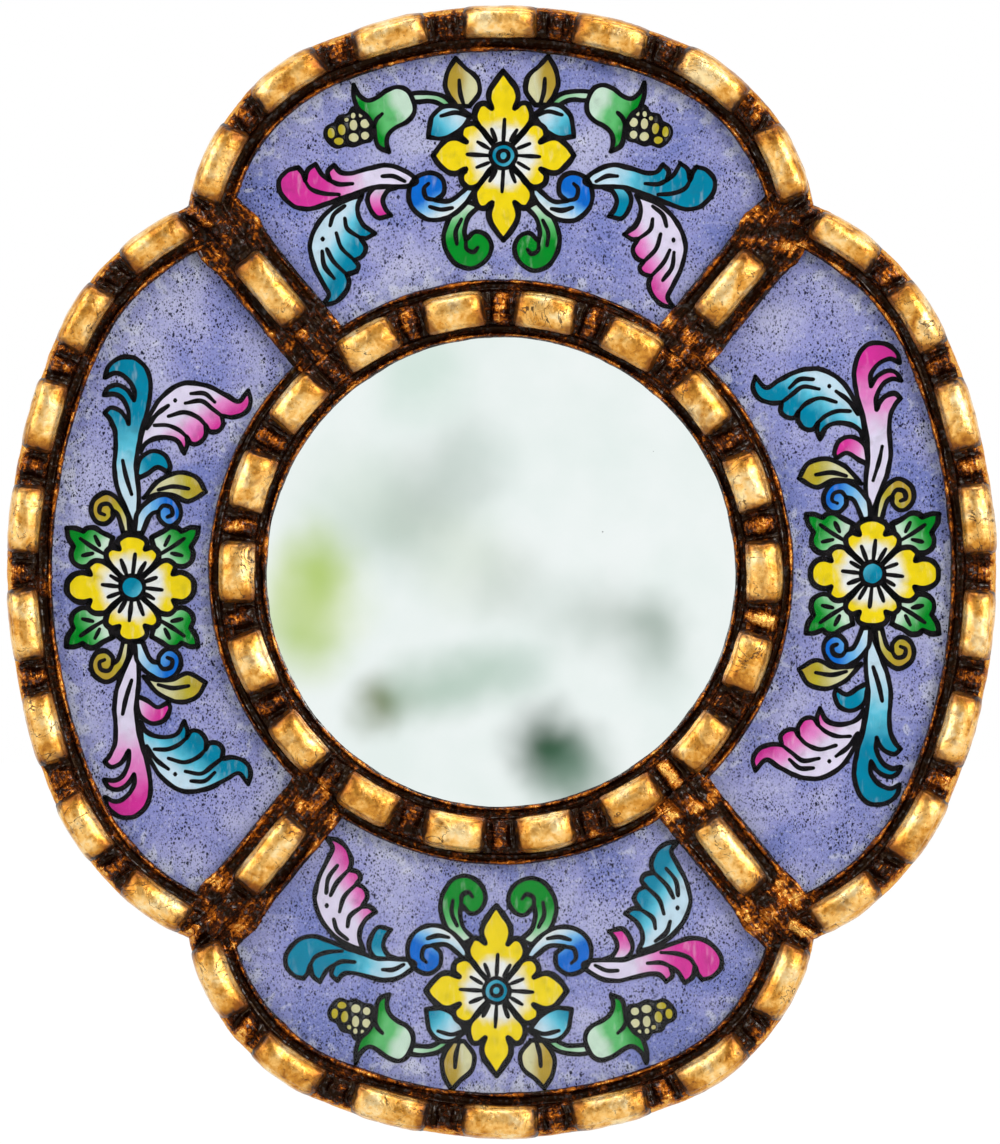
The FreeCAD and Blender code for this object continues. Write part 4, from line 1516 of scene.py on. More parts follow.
@dataclass(frozen=True)
class Wash:
    """Colours that run into each other along a straight line, or outwards from its start."""

    start: Flat
    end: Flat
    colours: tuple[Paint, ...]
    spreading: bool = False
    unevenness: float = 0.07

    def at(self, u: float, v: float) -> tuple[float, ...]:
        """The linear colour at a place.

        Args:
            u: Place across the motif.
            v: Place up the motif.

        Returns:
            Red, green, blue and alpha.
        """
        run, away = Vector(self.end) - Vector(self.start), Vector((u, v)) - Vector(self.start)
        share = away.length / run.length if self.spreading else away.dot(run) / run.length_squared
        share += self.unevenness * rough(u, v, 60, 2.0)
        place = max(0.0, min(0.9999, share)) * (len(self.colours) - 1)
        first, part = int(place), place % 1
        low = linear(self.colours[first].value)
        high = linear(self.colours[min(first + 1, len(self.colours) - 1)].value)
        return tuple(a + (b - a) * part for a, b in zip(low, high))


@dataclass(frozen=True)
class Shape:
    """A painted field with its outline and inner lines, in millimetres from the flower's middle."""

    outline: Knots
    wash: Wash
    lines: tuple[Knots, ...] = ()
    level: int = 0
    pen: float = 0.88


@dataclass(frozen=True)
class Placing:
    """Where a motif goes in a pane, and whether it is mirrored."""

    x: float
    z: float
    across: float = 1.0
    up: float = 1.0

    def spot(self, u: float, v: float) -> Flat:
        """The place of a motif's point on the front."""
        return self.x + self.across * u, self.z + self.up * v


BERRIES = (
    (30.4, 4.0, 0.708, 1.003), (28.5, 4.6, 0.767, 1.062), (29.1, 2.6, 0.944, 0.708),
    (26.4, 5.4, 0.767, 1.062), (26.4, 3.2, 1.003, 0.826), (24.4, 5.7, 0.885, 0.885),
    (24.4, 3.6, 0.767, 0.767), (26.5, 7.1, 0.472, 0.59), (25.2, 7.2, 0.413, 0.472),
    (27.6, 6.4, 0.472, 0.472),
)
BERRY_COLOURS = (Paint.OLIVE, Paint.OLIVE, Paint.STRAW, Paint.STRAW)


def berry(x: float, z: float, half_width: float, half_height: float) -> Shape:
    """One oval berry, straw near the calyx and olive away from it.

    Args:
        x: Its middle's place to the right.
        z: Its middle's place upwards.
        half_width: Half of its width.
        half_height: Half of its height.

    Returns:
        The berry.
    """
    turns = [k * math.pi / 4 for k in range(8)]
    outline = tuple((x + half_width * math.cos(a), z + half_height * math.sin(a)) for a in turns)
    return Shape(outline, Wash((31.0, z), (24.0, z), BERRY_COLOURS), level=1, pen=0.2)


def tall_spray(upper: Hue, lower: Hue) -> list[Shape]:
    """Half of the spray in the top and bottom panes, to the right of the flower.

    Args:
        upper: Colours of the level plume.
        lower: Colours of the hanging plume.

    Returns:
        Its shapes in the order of painting.
    """
    stalk = Shape(
        ((9.0, 9.2), (11.6, 10.9), (15.9, 11.0), (16.3, 9.5), (12.4, 9.6), (9.6, 8.2)),
        Wash((9, 9), (16, 11), (Paint.LEAF, Paint.MINT)),
    )
    pointed_leaf = Shape(
        ((6.1, 8.7, 1), (4.2, 11.1), (4.6, 13.6), (6.6, 15.3), (8.4, 17.2, 1), (9.8, 15.0),
         (10.3, 12.6), (9.7, 10.7), (8.3, 8.7, 1)),
        Wash((9.6, 13), (4.6, 12), (Paint.OCHRE, Paint.OCHRE, Paint.STRAW, Paint.STRAW)),
        (((7.8, 13.3), (7.6, 11.0), (7.0, 9.0)),),
    )
    curled_leaf = Shape(
        ((5.8, 7.0, 1), (8.2, 8.6), (10.7, 8.6), (12.5, 7.0), (13.0, 5.2), (13.2, 3.2, 1), (10.5, 3.0),
         (7.9, 4.3)),
        Wash((6, 8), (12, 3.4), (Paint.ICE, Paint.ICE, Paint.AQUA, Paint.TURQUOISE)),
        (((6.4, 6.9), (8.4, 7.6), (11.0, 7.0)),),
        level=1,
    )
    berry_bed = Shape(
        ((26.4, 8.6), (27.4, 7.4), (29.0, 7.0), (29.8, 5.8), (31.2, 5.0), (31.6, 3.8), (30.8, 2.3),
         (29.5, 1.5), (27.8, 1.9), (26.4, 1.7), (24.8, 2.4), (23.3, 2.8), (23.2, 5.0), (24.2, 7.4)),
        Wash((22, 5), (30, 5), (Paint.INK, Paint.INK)),
        pen=0.5,
    )
    calyx = Shape(
        ((26.4, 12.6, 1), (25.5, 10.8), (24.0, 9.8), (22.2, 10.4), (20.5, 11.6), (18.7, 12.2),
         (17.0, 11.6), (15.8, 9.6), (15.8, 7.6), (17.0, 6.1), (18.8, 5.1), (20.1, 3.9), (20.6, 2.3),
         (20.2, 0.7, 1), (22.0, 1.5), (22.6, 3.1), (22.8, 5.2, 1), (24.2, 7.1), (25.7, 8.4),
         (26.4, 10.4)),
        Wash(
            (16.6, 9.6), (24.6, 5.2),
            (Paint.MINT, Paint.MINT, Paint.LEAF, Paint.LEAF, Paint.GREEN, Paint.GREEN),
        ),
        (((21.4, 7.4), (22.4, 6.4), (22.8, 5.2)),),
        level=2,
    )
    blue_scroll = Shape(
        ((4.9, -5.9, 1), (6.8, -8.6), (9.8, -10.9), (13.2, -11.2), (16.0, -9.4), (16.7, -6.4),
         (15.4, -3.8), (12.9, -3.0), (10.7, -4.2), (10.5, -6.4), (12.0, -7.8, 1), (9.4, -7.9),
         (7.4, -6.6), (5.6, -4.9, 1)),
        Wash((9.2, -10.4), (12.4, -5.0), (Paint.WHITE, Paint.ICE, Paint.SKY, Paint.BLUE, Paint.BLUE)),
        (((12.0, -7.8), (13.6, -7.4), (14.0, -5.8), (13.2, -4.9)),
         ((9.0, -9.2), (11.0, -9.5), (13.0, -9.0))),
        level=1,
    )
    plumelet = Shape(
        ((18.6, -5.2, 1), (21.0, -4.9), (22.8, -5.6), (23.9, -7.2), (23.6, -9.2), (22.2, -10.9),
         (19.8, -10.5, 1), (20.9, -9.2), (21.2, -7.6), (20.4, -6.2), (18.8, -5.6, 1)),
        Wash((21, -4.0), (21.6, -9.6), upper.value[1:]),
    )
    hanging_plume = Shape(
        ((24.9, -7.0, 1), (25.7, -8.9), (25.6, -10.6), (24.6, -12.3), (22.6, -13.6, 1), (24.0, -14.5),
         (25.2, -14.5, 1), (24.3, -16.2), (24.9, -17.7), (26.3, -18.4, 1), (25.5, -19.4),
         (26.1, -20.5), (27.7, -20.9, 1), (27.2, -22.4), (27.9, -24.2), (29.6, -25.8),
         (31.9, -26.3, 1), (30.8, -24.4), (32.1, -21.9), (33.6, -18.9), (34.1, -15.4), (32.8, -11.9),
         (30.1, -9.2), (27.2, -7.6)),
        Wash((32.5, -14.0), (25.3, -18.2), lower.value),
        (((28.0, -8.8), (29.9, -10.3), (30.6, -12.3)), ((31.9, -14.5), (31.9, -14.8)),
         ((28.0, -11.0), (27.5, -12.9), (25.2, -14.5)), ((29.5, -13.6), (28.6, -16.2), (26.3, -18.4)),
         ((31.2, -16.4), (30.0, -18.6), (27.7, -20.9)), ((32.0, -16.8), (31.6, -19.4), (29.9, -21.6))),
    )
    level_plume = Shape(
        ((15.3, -4.4), (17.9, -2.4), (21.0, -1.7), (24.0, -2.3), (27.0, -3.1), (28.7, -2.9),
         (29.9, -1.6, 1), (31.0, -2.7), (30.7, -4.3, 1), (32.0, -3.3), (33.2, -1.4, 1), (34.6, -2.6),
         (35.0, -4.4, 1), (35.4, -3.0), (36.2, -2.0, 1), (38.2, -2.7), (39.6, -4.5), (39.2, -6.7),
         (37.1, -8.8), (34.0, -9.3), (30.6, -8.3), (27.8, -7.2), (25.3, -6.4), (22.7, -5.6),
         (19.6, -5.4), (17.0, -5.4)),
        Wash((17, -4), (31.5, -5.2), upper.value),
        (((21.4, -3.6), (19.4, -3.6), (17.4, -4.5)), ((30.7, -4.3), (29.0, -5.0), (26.6, -4.9)),
         ((35.0, -4.4), (34.0, -5.8), (31.8, -6.6), (29.0, -6.8))),
        level=1,
    )
    green_scroll = Shape(
        ((4.3, -9.0, 1), (6.6, -8.2), (9.2, -10.6), (10.4, -13.6), (10.2, -16.4), (8.6, -18.9),
         (6.0, -19.9), (3.3, -18.7), (2.1, -16.1), (3.0, -14.0), (5.0, -13.4), (6.6, -14.9, 1),
         (6.9, -13.0), (6.2, -10.8)),
        Wash((6.4, -9), (5.4, -17.0), (Paint.MINT, Paint.LEAF, Paint.GREEN, Paint.GREEN)),
        (((6.6, -14.9), (6.5, -16.4), (5.3, -17.0), (4.5, -16.2)),
         ((7.4, -11.2), (8.4, -13.4), (8.2, -15.6))),
    )
    berries = [berry(*row) for row in BERRIES]
    fruit = [stalk, pointed_leaf, curled_leaf, berry_bed, *berries, calyx]
    return [*fruit, blue_scroll, plumelet, hanging_plume, level_plume, green_scroll]


def wide_spray(stem: Hue, wing: Hue) -> list[Shape]:
    """Half of the spray in the side panes, above the flower of the left one.

    Args:
        stem: Colours of the stem's plume.
        wing: Colours of the wing's plume.

    Returns:
        Its shapes in the order of painting.
    """
    plumelet = Shape(
        ((0.7, 20.0, 1), (1.4, 22.7), (3.6, 24.1), (5.8, 23.4), (6.7, 21.5), (6.4, 20.3, 1),
         (4.6, 21.2), (2.8, 20.2), (1.2, 19.4, 1)),
        Wash((0.5, 21), (4.5, 22.5), stem.value[2:]),
    )
    olive_leaf = Shape(
        ((2.0, 15.8, 1), (4.5, 18.6), (7.9, 20.2), (11.2, 19.5), (13.0, 16.8, 1), (9.9, 15.2),
         (7.2, 16.3), (4.5, 16.4)),
        Wash((3, 17), (13, 18), (Paint.STRAW, Paint.STRAW, Paint.OLIVE, Paint.OCHRE)),
        (((4.6, 17.2), (7.2, 17.8), (10.0, 17.4)),),
    )
    olive_scroll = Shape(
        ((-0.4, 9.6, 1), (-1.0, 13.1), (-2.6, 15.7), (-4.8, 16.7), (-6.8, 15.4), (-7.3, 13.4),
         (-6.4, 11.7), (-4.7, 11.2), (-3.5, 12.3), (-3.4, 13.6, 1), (-2.5, 12.7), (-1.6, 9.6, 1)),
        Wash((-1.5, 10), (-6, 14), (Paint.STRAW, Paint.OLIVE, Paint.OCHRE)),
        (((-3.4, 13.6), (-4.2, 14.7), (-5.5, 14.5), (-5.8, 13.3), (-4.9, 12.8)),),
        level=1,
    )
    wing_plume = Shape(
        ((1.5, 25.4), (2.4, 28.9), (5.2, 33.6), (9.2, 36.0), (13.2, 35.6), (16.6, 33.9), (18.8, 32.8),
         (20.6, 34.7, 1), (21.0, 32.6), (19.9, 30.8), (17.9, 30.0), (15.9, 30.2, 1), (16.1, 28.6),
         (15.0, 27.5), (13.7, 27.5), (13.0, 28.6, 1), (13.1, 26.9), (12.0, 25.6), (10.5, 25.4),
         (9.6, 26.6, 1), (9.8, 25.2), (9.2, 23.6, 1), (8.2, 25.6), (6.4, 26.5), (4.2, 26.3),
         (2.4, 25.3), (1.5, 23.8)),
        Wash((7.6, 35.5), (13.6, 27.5), wing.value),
        (((2.6, 28.0), (4.2, 30.4), (6.4, 32.1)), ((10.4, 34.2), (12.8, 34.2), (14.6, 32.7)),
         ((7.6, 32.9), (7.6, 33.1)), ((9.4, 32.5), (12.2, 32.9), (14.2, 31.5), (15.9, 30.2)),
         ((6.4, 30.2), (9.2, 30.9), (11.6, 30.0), (13.0, 28.6)),
         ((3.9, 28.6), (6.2, 28.6), (8.2, 27.8), (9.6, 26.6))),
    )
    stem_plume = Shape(
        ((0.3, 10.0, 1), (-1.2, 14.1), (-2.8, 18.2), (-3.2, 21.5), (-2.9, 24.9), (-3.1, 27.6),
         (-3.9, 29.6), (-4.9, 30.8, 1), (-3.8, 31.7), (-2.2, 31.2), (-1.2, 30.0), (-0.7, 28.9, 1),
         (-0.7, 31.0), (-1.7, 33.2), (-3.3, 34.2), (-5.0, 34.0, 1), (-4.2, 35.3), (-2.6, 35.7),
         (-0.9, 34.8), (0.3, 33.0, 1), (0.3, 35.0), (-1.1, 37.0), (-3.0, 37.8), (-4.8, 37.1, 1),
         (-4.2, 39.0), (-2.4, 40.4), (0.2, 40.5), (2.2, 39.0), (3.1, 36.6), (3.2, 34.0), (2.6, 31.0),
         (1.5, 26.6), (0.7, 21.5), (1.2, 16.8), (1.0, 10.6, 1)),
        Wash((-0.6, 12), (-0.4, 37), (stem.value[1], *stem.value[1:])),
        (((-1.7, 22.4), (-1.1, 19.6), (-0.1, 16.4)),),
        level=1,
    )
    blue_scroll = Shape(
        ((0.4, 9.6, 1), (0.8, 12.8), (2.8, 15.3), (5.3, 16.4), (7.5, 15.6), (8.6, 13.8), (8.4, 12.0),
         (7.2, 10.9), (5.7, 11.0), (4.7, 12.1), (4.6, 13.4, 1), (3.2, 12.8), (1.8, 9.6, 1)),
        Wash((1.2, 11), (7, 13), (Paint.ICE, Paint.SKY, Paint.BLUE)),
        (((4.6, 13.4), (5.5, 14.4), (6.8, 14.1), (7.1, 12.9), (6.2, 12.4)),),
        level=2,
    )
    return [plumelet, olive_leaf, olive_scroll, wing_plume, stem_plume, blue_scroll]


def disc(
    radius: float, colours: tuple[Paint, ...], level: int, pen: float, rays: tuple[Knots, ...] = ()
) -> Shape:
    """A round field in the middle of a flower, with the lines that spread from it."""
    outline = tuple(polar(k * 45.0, radius) for k in range(8))
    return Shape(outline, Wash((-radius, radius), (radius, -radius), colours), rays, level, pen)


PETAL_LENGTH = 11.3


def petal(left: Knots, bearing: float, pen: float, reach: float = 0.0) -> Shape:
    """A petal from the knots of its left half, drawn out by a reach, white inside and yellow outside.

    Args:
        left: Knots of the left half, from foot to tip.
        bearing: Direction of the tip.
        pen: Width of the outline.
        reach: Extra length at the tip.

    Returns:
        The petal.
    """
    tip = max(p[1] for p in left)
    half = [(p[0], p[1] + reach * (p[1] / tip) ** 3, *p[2:]) for p in left]
    right = [(-p[0], *p[1:]) for p in reversed(half) if p[0]]
    wash = Wash((0.0, 0.0), polar(bearing, PETAL_LENGTH), (Paint.WHITE,) * 4 + (Paint.YELLOW,) * 4, True)
    return Shape(turned((*half, *right), bearing), wash, level=2, pen=pen)


def stamens(inner: float, upright: float, level: float, turn: float) -> tuple[Knots, ...]:
    """Four lines that spread from the middle of a flower, two of each reach, all turned by an angle."""
    bearings = [turn + k * 90.0 for k in range(4)]
    return tuple((polar(b, inner), polar(b + 2, (upright, level)[k % 2])) for k, b in enumerate(bearings))


TALL_PETAL = (
    (-1.5, 1.8, 1), (-4.3, 5.1), (-5.1, 7.0), (-4.4, 8.9), (-3.2, 9.2), (-2.0, 8.3, 1), (-2.6, 10.2),
    (-2.3, 11.7), (-1.2, 13.4), (0.0, 14.9, 1),
)
SIDE_PETAL = (
    (-1.8, 1.5, 1), (-5.1, 4.3), (-5.7, 5.8), (-4.9, 7.2), (-3.5, 7.5), (-2.4, 6.6, 1), (-3.1, 8.4),
    (-2.8, 9.9), (-1.5, 11.4), (0.0, 12.4, 1),
)
ROUND_PETAL = (
    (-1.7, 1.7, 1), (-3.8, 4.0), (-4.6, 5.3), (-4.6, 6.7), (-3.6, 7.7), (-2.3, 7.3, 1), (-2.6, 8.7),
    (-2.2, 10.0), (-1.2, 10.9), (0.0, 11.1),
)
ROUND_PETAL_REACHES = (-1.9, -0.2, -1.5, 0.5)
IVY = (
    (11.7, 10.5, 1), (10.3, 10.5), (8.7, 9.9, 1), (8.0, 10.5), (6.7, 10.6), (5.2, 9.7), (3.4, 8.8, 1),
    (3.9, 7.0), (4.8, 4.8), (6.6, 4.1), (8.8, 3.6), (10.3, 4.4), (10.8, 5.8), (10.4, 7.2, 1), (11.4, 8.8),
)
IVY_COLOURS = (Paint.MINT, Paint.MINT, Paint.LEAF, Paint.GREEN, Paint.GREEN)
IVY_VEINS = (((5.2, 6.0), (7.2, 7.2), (9.2, 8.6)), ((5.8, 7.4), (6.6, 9.0)), ((7.0, 6.0), (8.8, 5.6)))


def tall_flower() -> list[Shape]:
    """The flower of the top and bottom panes: four petals of three lobes, the middle one pointed.

    Returns:
        Its shapes in the order of painting.
    """
    made = [petal((TALL_PETAL, SIDE_PETAL)[k % 2], 90.0 * k, 1.05) for k in range(4)]
    rays = stamens(2.5, 6.4, 6.4, 0.0) + stamens(2.9, 5.1, 5.1, -26.0) + stamens(2.9, 5.1, 5.1, 26.0)
    made.append(disc(2.25, (Paint.TURQUOISE, Paint.TURQUOISE, Paint.AQUA), 3, 0.75, rays))
    made.append(disc(0.95, (Paint.TURQUOISE, Paint.AQUA), 4, 0.75))
    return made


def wide_flower() -> list[Shape]:
    """The flower of the side panes: four scalloped petals with ivy leaves between them.

    Returns:
        Its shapes in the order of painting.
    """
    made = []
    for across, up in ((1, 1), (1, -1), (-1, -1), (-1, 1)):
        flipped = [tuple((p[0] * across, p[1] * up, *p[2:]) for p in line) for line in (IVY, *IVY_VEINS)]
        wash = Wash((4.6 * across, 5 * up), (10.4 * across, 8.2 * up), IVY_COLOURS)
        made.append(Shape(flipped[0], wash, tuple(flipped[1:]), level=1, pen=0.98))
    made += [petal(ROUND_PETAL, 90.0 * k, 1.0, reach) for k, reach in enumerate(ROUND_PETAL_REACHES)]
    rays = stamens(2.4, 5.2, 4.6, -24.0) + stamens(2.4, 5.9, 5.3, 3.0) + stamens(2.4, 4.9, 4.3, 26.0)
    made.append(disc(2.1, (Paint.TURQUOISE, Paint.TURQUOISE, Paint.AQUA), 3, 0.8, rays))
    return made


@dataclass
class PaintedPane:
    """One reverse-painted pane: its ground, its painted fields and its black lines behind the glass."""

    lobe: Lobe
    flower: list[Shape]
    flower_at: Placing
    sprays: list[tuple[list[Shape], Placing]]
    ground_height: float = 0.03
    first_height: float = 0.07
    level_height: float = 0.045
    line_lift: float = 0.02
    under_lip: float = 0.9
    ground_spacing: float = 1.6
    field_spacing: float = 0.7
    edge_reach: float = 7.0
    finest_pen: float = 0.82
    hand_shake: float = 0.12

    @property
    def half_sector(self) -> float:
        """Half of the angle between the two spokes, in degrees."""
        return SPOKE_BEARING if self.lobe.bearing in (0.0, 180.0) else 90 - SPOKE_BEARING

    def clear(self, x: float, z: float) -> bool:
        """Tells whether a place is outside the two spokes.

        Args:
            x: Place to the right.
            z: Place upwards.

        Returns:
            True outside them.
        """
        u, v = turned([(x, z)], -self.lobe.bearing)[0]
        away = self.half_sector - abs(math.degrees(math.atan2(u, v)))
        return math.hypot(u, v) * math.sin(math.radians(away)) > SPOKE_HALF_WIDTH - self.under_lip

    def border(self) -> list[Flat]:
        """The ground's edge, a little under the lips of the mouldings.

        Returns:
            Its points, once round.
        """
        reach, radius = RAIL_WIDTH - self.under_lip, RING_LIP - self.under_lip
        end = self.lobe.end_angle(reach)
        outer = [self.lobe.at(end * k / 90, reach) for k in range(-90, 91)]
        bearings = [self.lobe.bearing - self.half_sector * k / 60 for k in range(-60, 61)]
        inner = [polar(bearing, radius) for bearing in bearings]
        return [p for p in (*outer, *inner) if self.clear(*p)]

    @staticmethod
    def filled(edge: Sequence[Flat], spacing: float) -> tuple[list[Flat], list[tuple[int, ...]]]:
        """Fills a closed line with triangles.

        Args:
            edge: The line's points.
            spacing: Distance between the points set inside it.

        Returns:
            The points and the triangles, which face forwards.
        """
        xs, zs = [p[0] for p in edge], [p[1] for p in edge]
        spots = [Vector(p) for p in edge]
        lines = [(i, (i + 1) % len(edge)) for i in range(len(edge))]
        row = 0
        z = min(zs) + spacing / 2
        while z < max(zs):
            x = min(xs) + spacing / 2 * (1 + row % 2)
            while x < max(xs):
                spots.append(Vector((x, z)))
                x += spacing
            z += spacing * 0.87
            row += 1
        points, _, faces, *_ = delaunay_2d_cdt(spots, lines, [], 1, 1e-6)
        used = sorted({i for face in faces for i in face})
        place = {old: new for new, old in enumerate(used)}
        made = []
        for face in faces:
            a, b, c = (points[i] for i in face)
            front = (b - a).cross(c - a) > 0
            made.append(tuple(place[i] for i in (face if front else reversed(face))))
        return [tuple(points[i]) for i in used], made

    def ground(self) -> Surface:
        """The lilac field, with the nearness of its edge on each point.

        Returns:
            The film.
        """
        border = self.border()
        points, faces = self.filled(border, self.ground_spacing)
        skin = Surface(faces=faces)
        rim = [Vector(p) for p in border[::2]]
        for x, z in points:
            away = min((Vector((x, z)) - p).length for p in rim)
            skin.add(x, z, self.ground_height, edge=max(0.0, 1 - away / self.edge_reach))
        return skin

    @staticmethod
    def stroke(skin: Surface, line: Sequence[Marked], closed: bool, pen: float, height: float) -> None:
        """Adds a drawn line of varying width to a surface.

        Args:
            skin: The surface.
            line: Places along the line, marked at sharp corners.
            closed: True if the line returns to its start.
            pen: The line's usual width.
            height: Its height in front of the board.
        """
        count = len(line)
        start = len(skin.points)
        for i, (x, z, _) in enumerate(line):
            before = line[i - 1] if closed or i else line[i]
            after = line[(i + 1) % count] if closed or i + 1 < count else line[i]
            run = Vector((after[0] - before[0], after[1] - before[1]))
            run = run.normalized() if run.length else Vector((1.0, 0.0))
            fade = 1.0 if closed else 0.8 + 0.25 * math.sin(math.pi * i / max(1, count - 1))
            half = pen / 2 * fade * (1 + 0.22 * rough(x, z, 5, 2.5, 2))
            skin.add(x - run.y * half, z + run.x * half, height)
            skin.add(x + run.y * half, z - run.x * half, height)
        for i in range(count if closed else count - 1):
            a, b = start + 2 * i, start + 2 * ((i + 1) % count)
            skin.faces.append((a, a + 1, b + 1, b))
        tips = [p for p in line if p[2]] + ([] if closed else [line[0], line[-1]])
        turns = [k * math.pi / 5 for k in range(10)]
        for x, z, sharp in tips:
            size = pen / 2 * (0.98 if sharp else 0.8)
            dot = [skin.add(x + size * math.cos(a), z + size * math.sin(a), height) for a in turns]
            skin.faces.append(tuple(dot))

    def draw(self, shape: Shape, placing: Placing, fields: Surface, lines: Surface) -> None:
        """Paints one shape: its field, its outline and its inner lines.

        Args:
            shape: The shape.
            placing: Where it goes.
            fields: The film of painted fields.
            lines: The film of drawn lines.
        """
        wander = [rough(placing.x, placing.z, k, 3.0) for k in (1, 2)]
        shaken = []
        for u, v, sharp in curve(shape.outline, True):
            du = self.hand_shake * rough(u, v, wander[0] * 9, 3.0, 2)
            dv = self.hand_shake * rough(u + 40, v, wander[1] * 9, 3.0, 2)
            shaken.append((u + du, v + dv, sharp))
        height = self.first_height + self.level_height * shape.level
        points, faces = self.filled([p[:2] for p in shaken], self.field_spacing)
        first = len(fields.points)
        for u, v in points:
            fields.add(*placing.spot(u, v), height)
            shade = 1 + 0.1 * rough(u, v, 20, 2.0)
            fields.paints.append((*(min(1.0, c * shade) for c in shape.wash.at(u, v)[:3]), 1.0))
        flip = placing.across * placing.up < 0
        fields.faces += [tuple(first + i for i in (reversed(face) if flip else face)) for face in faces]
        set_down = [(*placing.spot(u, v), sharp) for u, v, sharp in shaken]
        self.stroke(lines, set_down, True, shape.pen, height + self.line_lift)
        for inner in shape.lines:
            drawn = [(*placing.spot(u, v), sharp) for u, v, sharp in curve(inner, False, 9)]
            self.stroke(lines, drawn, False, min(shape.pen, self.finest_pen), height + self.line_lift)

    def build(self) -> list[bpy.types.Object]:
        """Makes the pane's three films of paint.

        Returns:
            The films from back to front.
        """
        fields, lines = Surface(), Surface()
        for shapes, placing in (*self.sprays, (self.flower, self.flower_at)):
            for shape in shapes:
                self.draw(shape, placing, fields, lines)
        films = (
            ("ground", self.ground(), LilacGround()),
            ("ornament", fields, BrushPaint()),
            ("outlines", lines, OutlineInk()),
        )
        made = []
        for film, skin, finish in films:
            name = f"{film}_{self.lobe.name}"
            made.append(join_in(name, skin.mesh(name, False), finish, "painted_glass"))
        return made


def painted_panes() -> list[PaintedPane]:
    """The four panes; opposite ones are each other turned half round.

    Returns:
        The top, bottom, left and right panes.
    """
    top, right, bottom, left = LOBES
    magenta, turquoise = Hue.MAGENTA, Hue.TURQUOISE
    bright, dusk = tall_spray(turquoise, magenta), tall_spray(magenta, turquoise)
    climbing, falling = wide_spray(turquoise, magenta), wide_spray(magenta, turquoise)
    panes = []
    for lobe, x, z, way in ((top, 0.4, 73.4, 1.0), (bottom, -0.8, -73.8, -1.0)):
        sprays = [(bright, Placing(x, z, way * 0.94, way * 1.02)), (dusk, Placing(x, z, -way, way))]
        panes.append(PaintedPane(lobe, tall_flower(), Placing(x, z, way, way), sprays))
    for lobe, x, z, way in ((left, -65.2, -2.7, 1.0), (right, 65.4, -0.3, -1.0)):
        sprays = [(climbing, Placing(x, z, way, way)), (falling, Placing(x, z, way, -way))]
        panes.append(PaintedPane(lobe, wide_flower(), Placing(x, z, way, way), sprays))
    return panes


@dataclass(frozen=True)
class Dressing:
    """A finish for CAD nodes whose shape is kept."""

    finish: Finish
    nodes: tuple[str, ...]

    def dress(self) -> None:
        """Gives the finish to the nodes' material slots."""
        for node in self.nodes:
            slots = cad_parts[node].data.materials
            for i in range(max(1, len(slots))):
                if slots:
                    slots[i] = self.finish.material()
                else:
                    slots.append(self.finish.material())
            LOG.info("%s dressed in %s", node, self.finish.name)


WHITE_LIGHT = (1.0, 1.0, 1.0, 1.0)
SKY_LIGHT = (0.96, 0.98, 1.0, 1.0)


@dataclass(frozen=True)
class PaleFloor(Finish):
    """The studio floor, which shows the camera a near white that keeps some of the shadow."""

    name: str = "pale_floor"
    low: Colour = (236, 236, 236)
    high: Colour = (246, 246, 246)
    shown: float = 0.93
    strength: float = 1.06

    def surface(self, graph: Graph) -> Wire:
        """Builds the shader.

        Args:
            graph: The tree to build in.

        Returns:
            The shader's output.
        """
        tones = ((0.3, self.low), (0.7, self.high))
        matt = graph.ramp(graph.noise(graph.place(), 400.0, 3.0), tones)
        floor = graph.principled(Base_Color=matt, Roughness=0.8)
        glow = graph.glow(WHITE_LIGHT, self.strength)
        return graph.blend(graph.background_ray() * self.shown, floor, glow)


@dataclass(frozen=True)
class DimWall(Finish):
    """The dim side of the studio behind the camera, which gives metal its depth."""

    name: str = "dim_wall"
    low: Colour = (240, 244, 250)
    high: Colour = (252, 253, 255)
    strength: float = 0.2

    def surface(self, graph: Graph) -> Wire:
        """Builds a faint, slightly clouded glow."""
        tones = ((0.3, self.low), (0.7, self.high))
        return graph.glow(graph.ramp(graph.noise(graph.place(), 900.0), tones), self.strength)


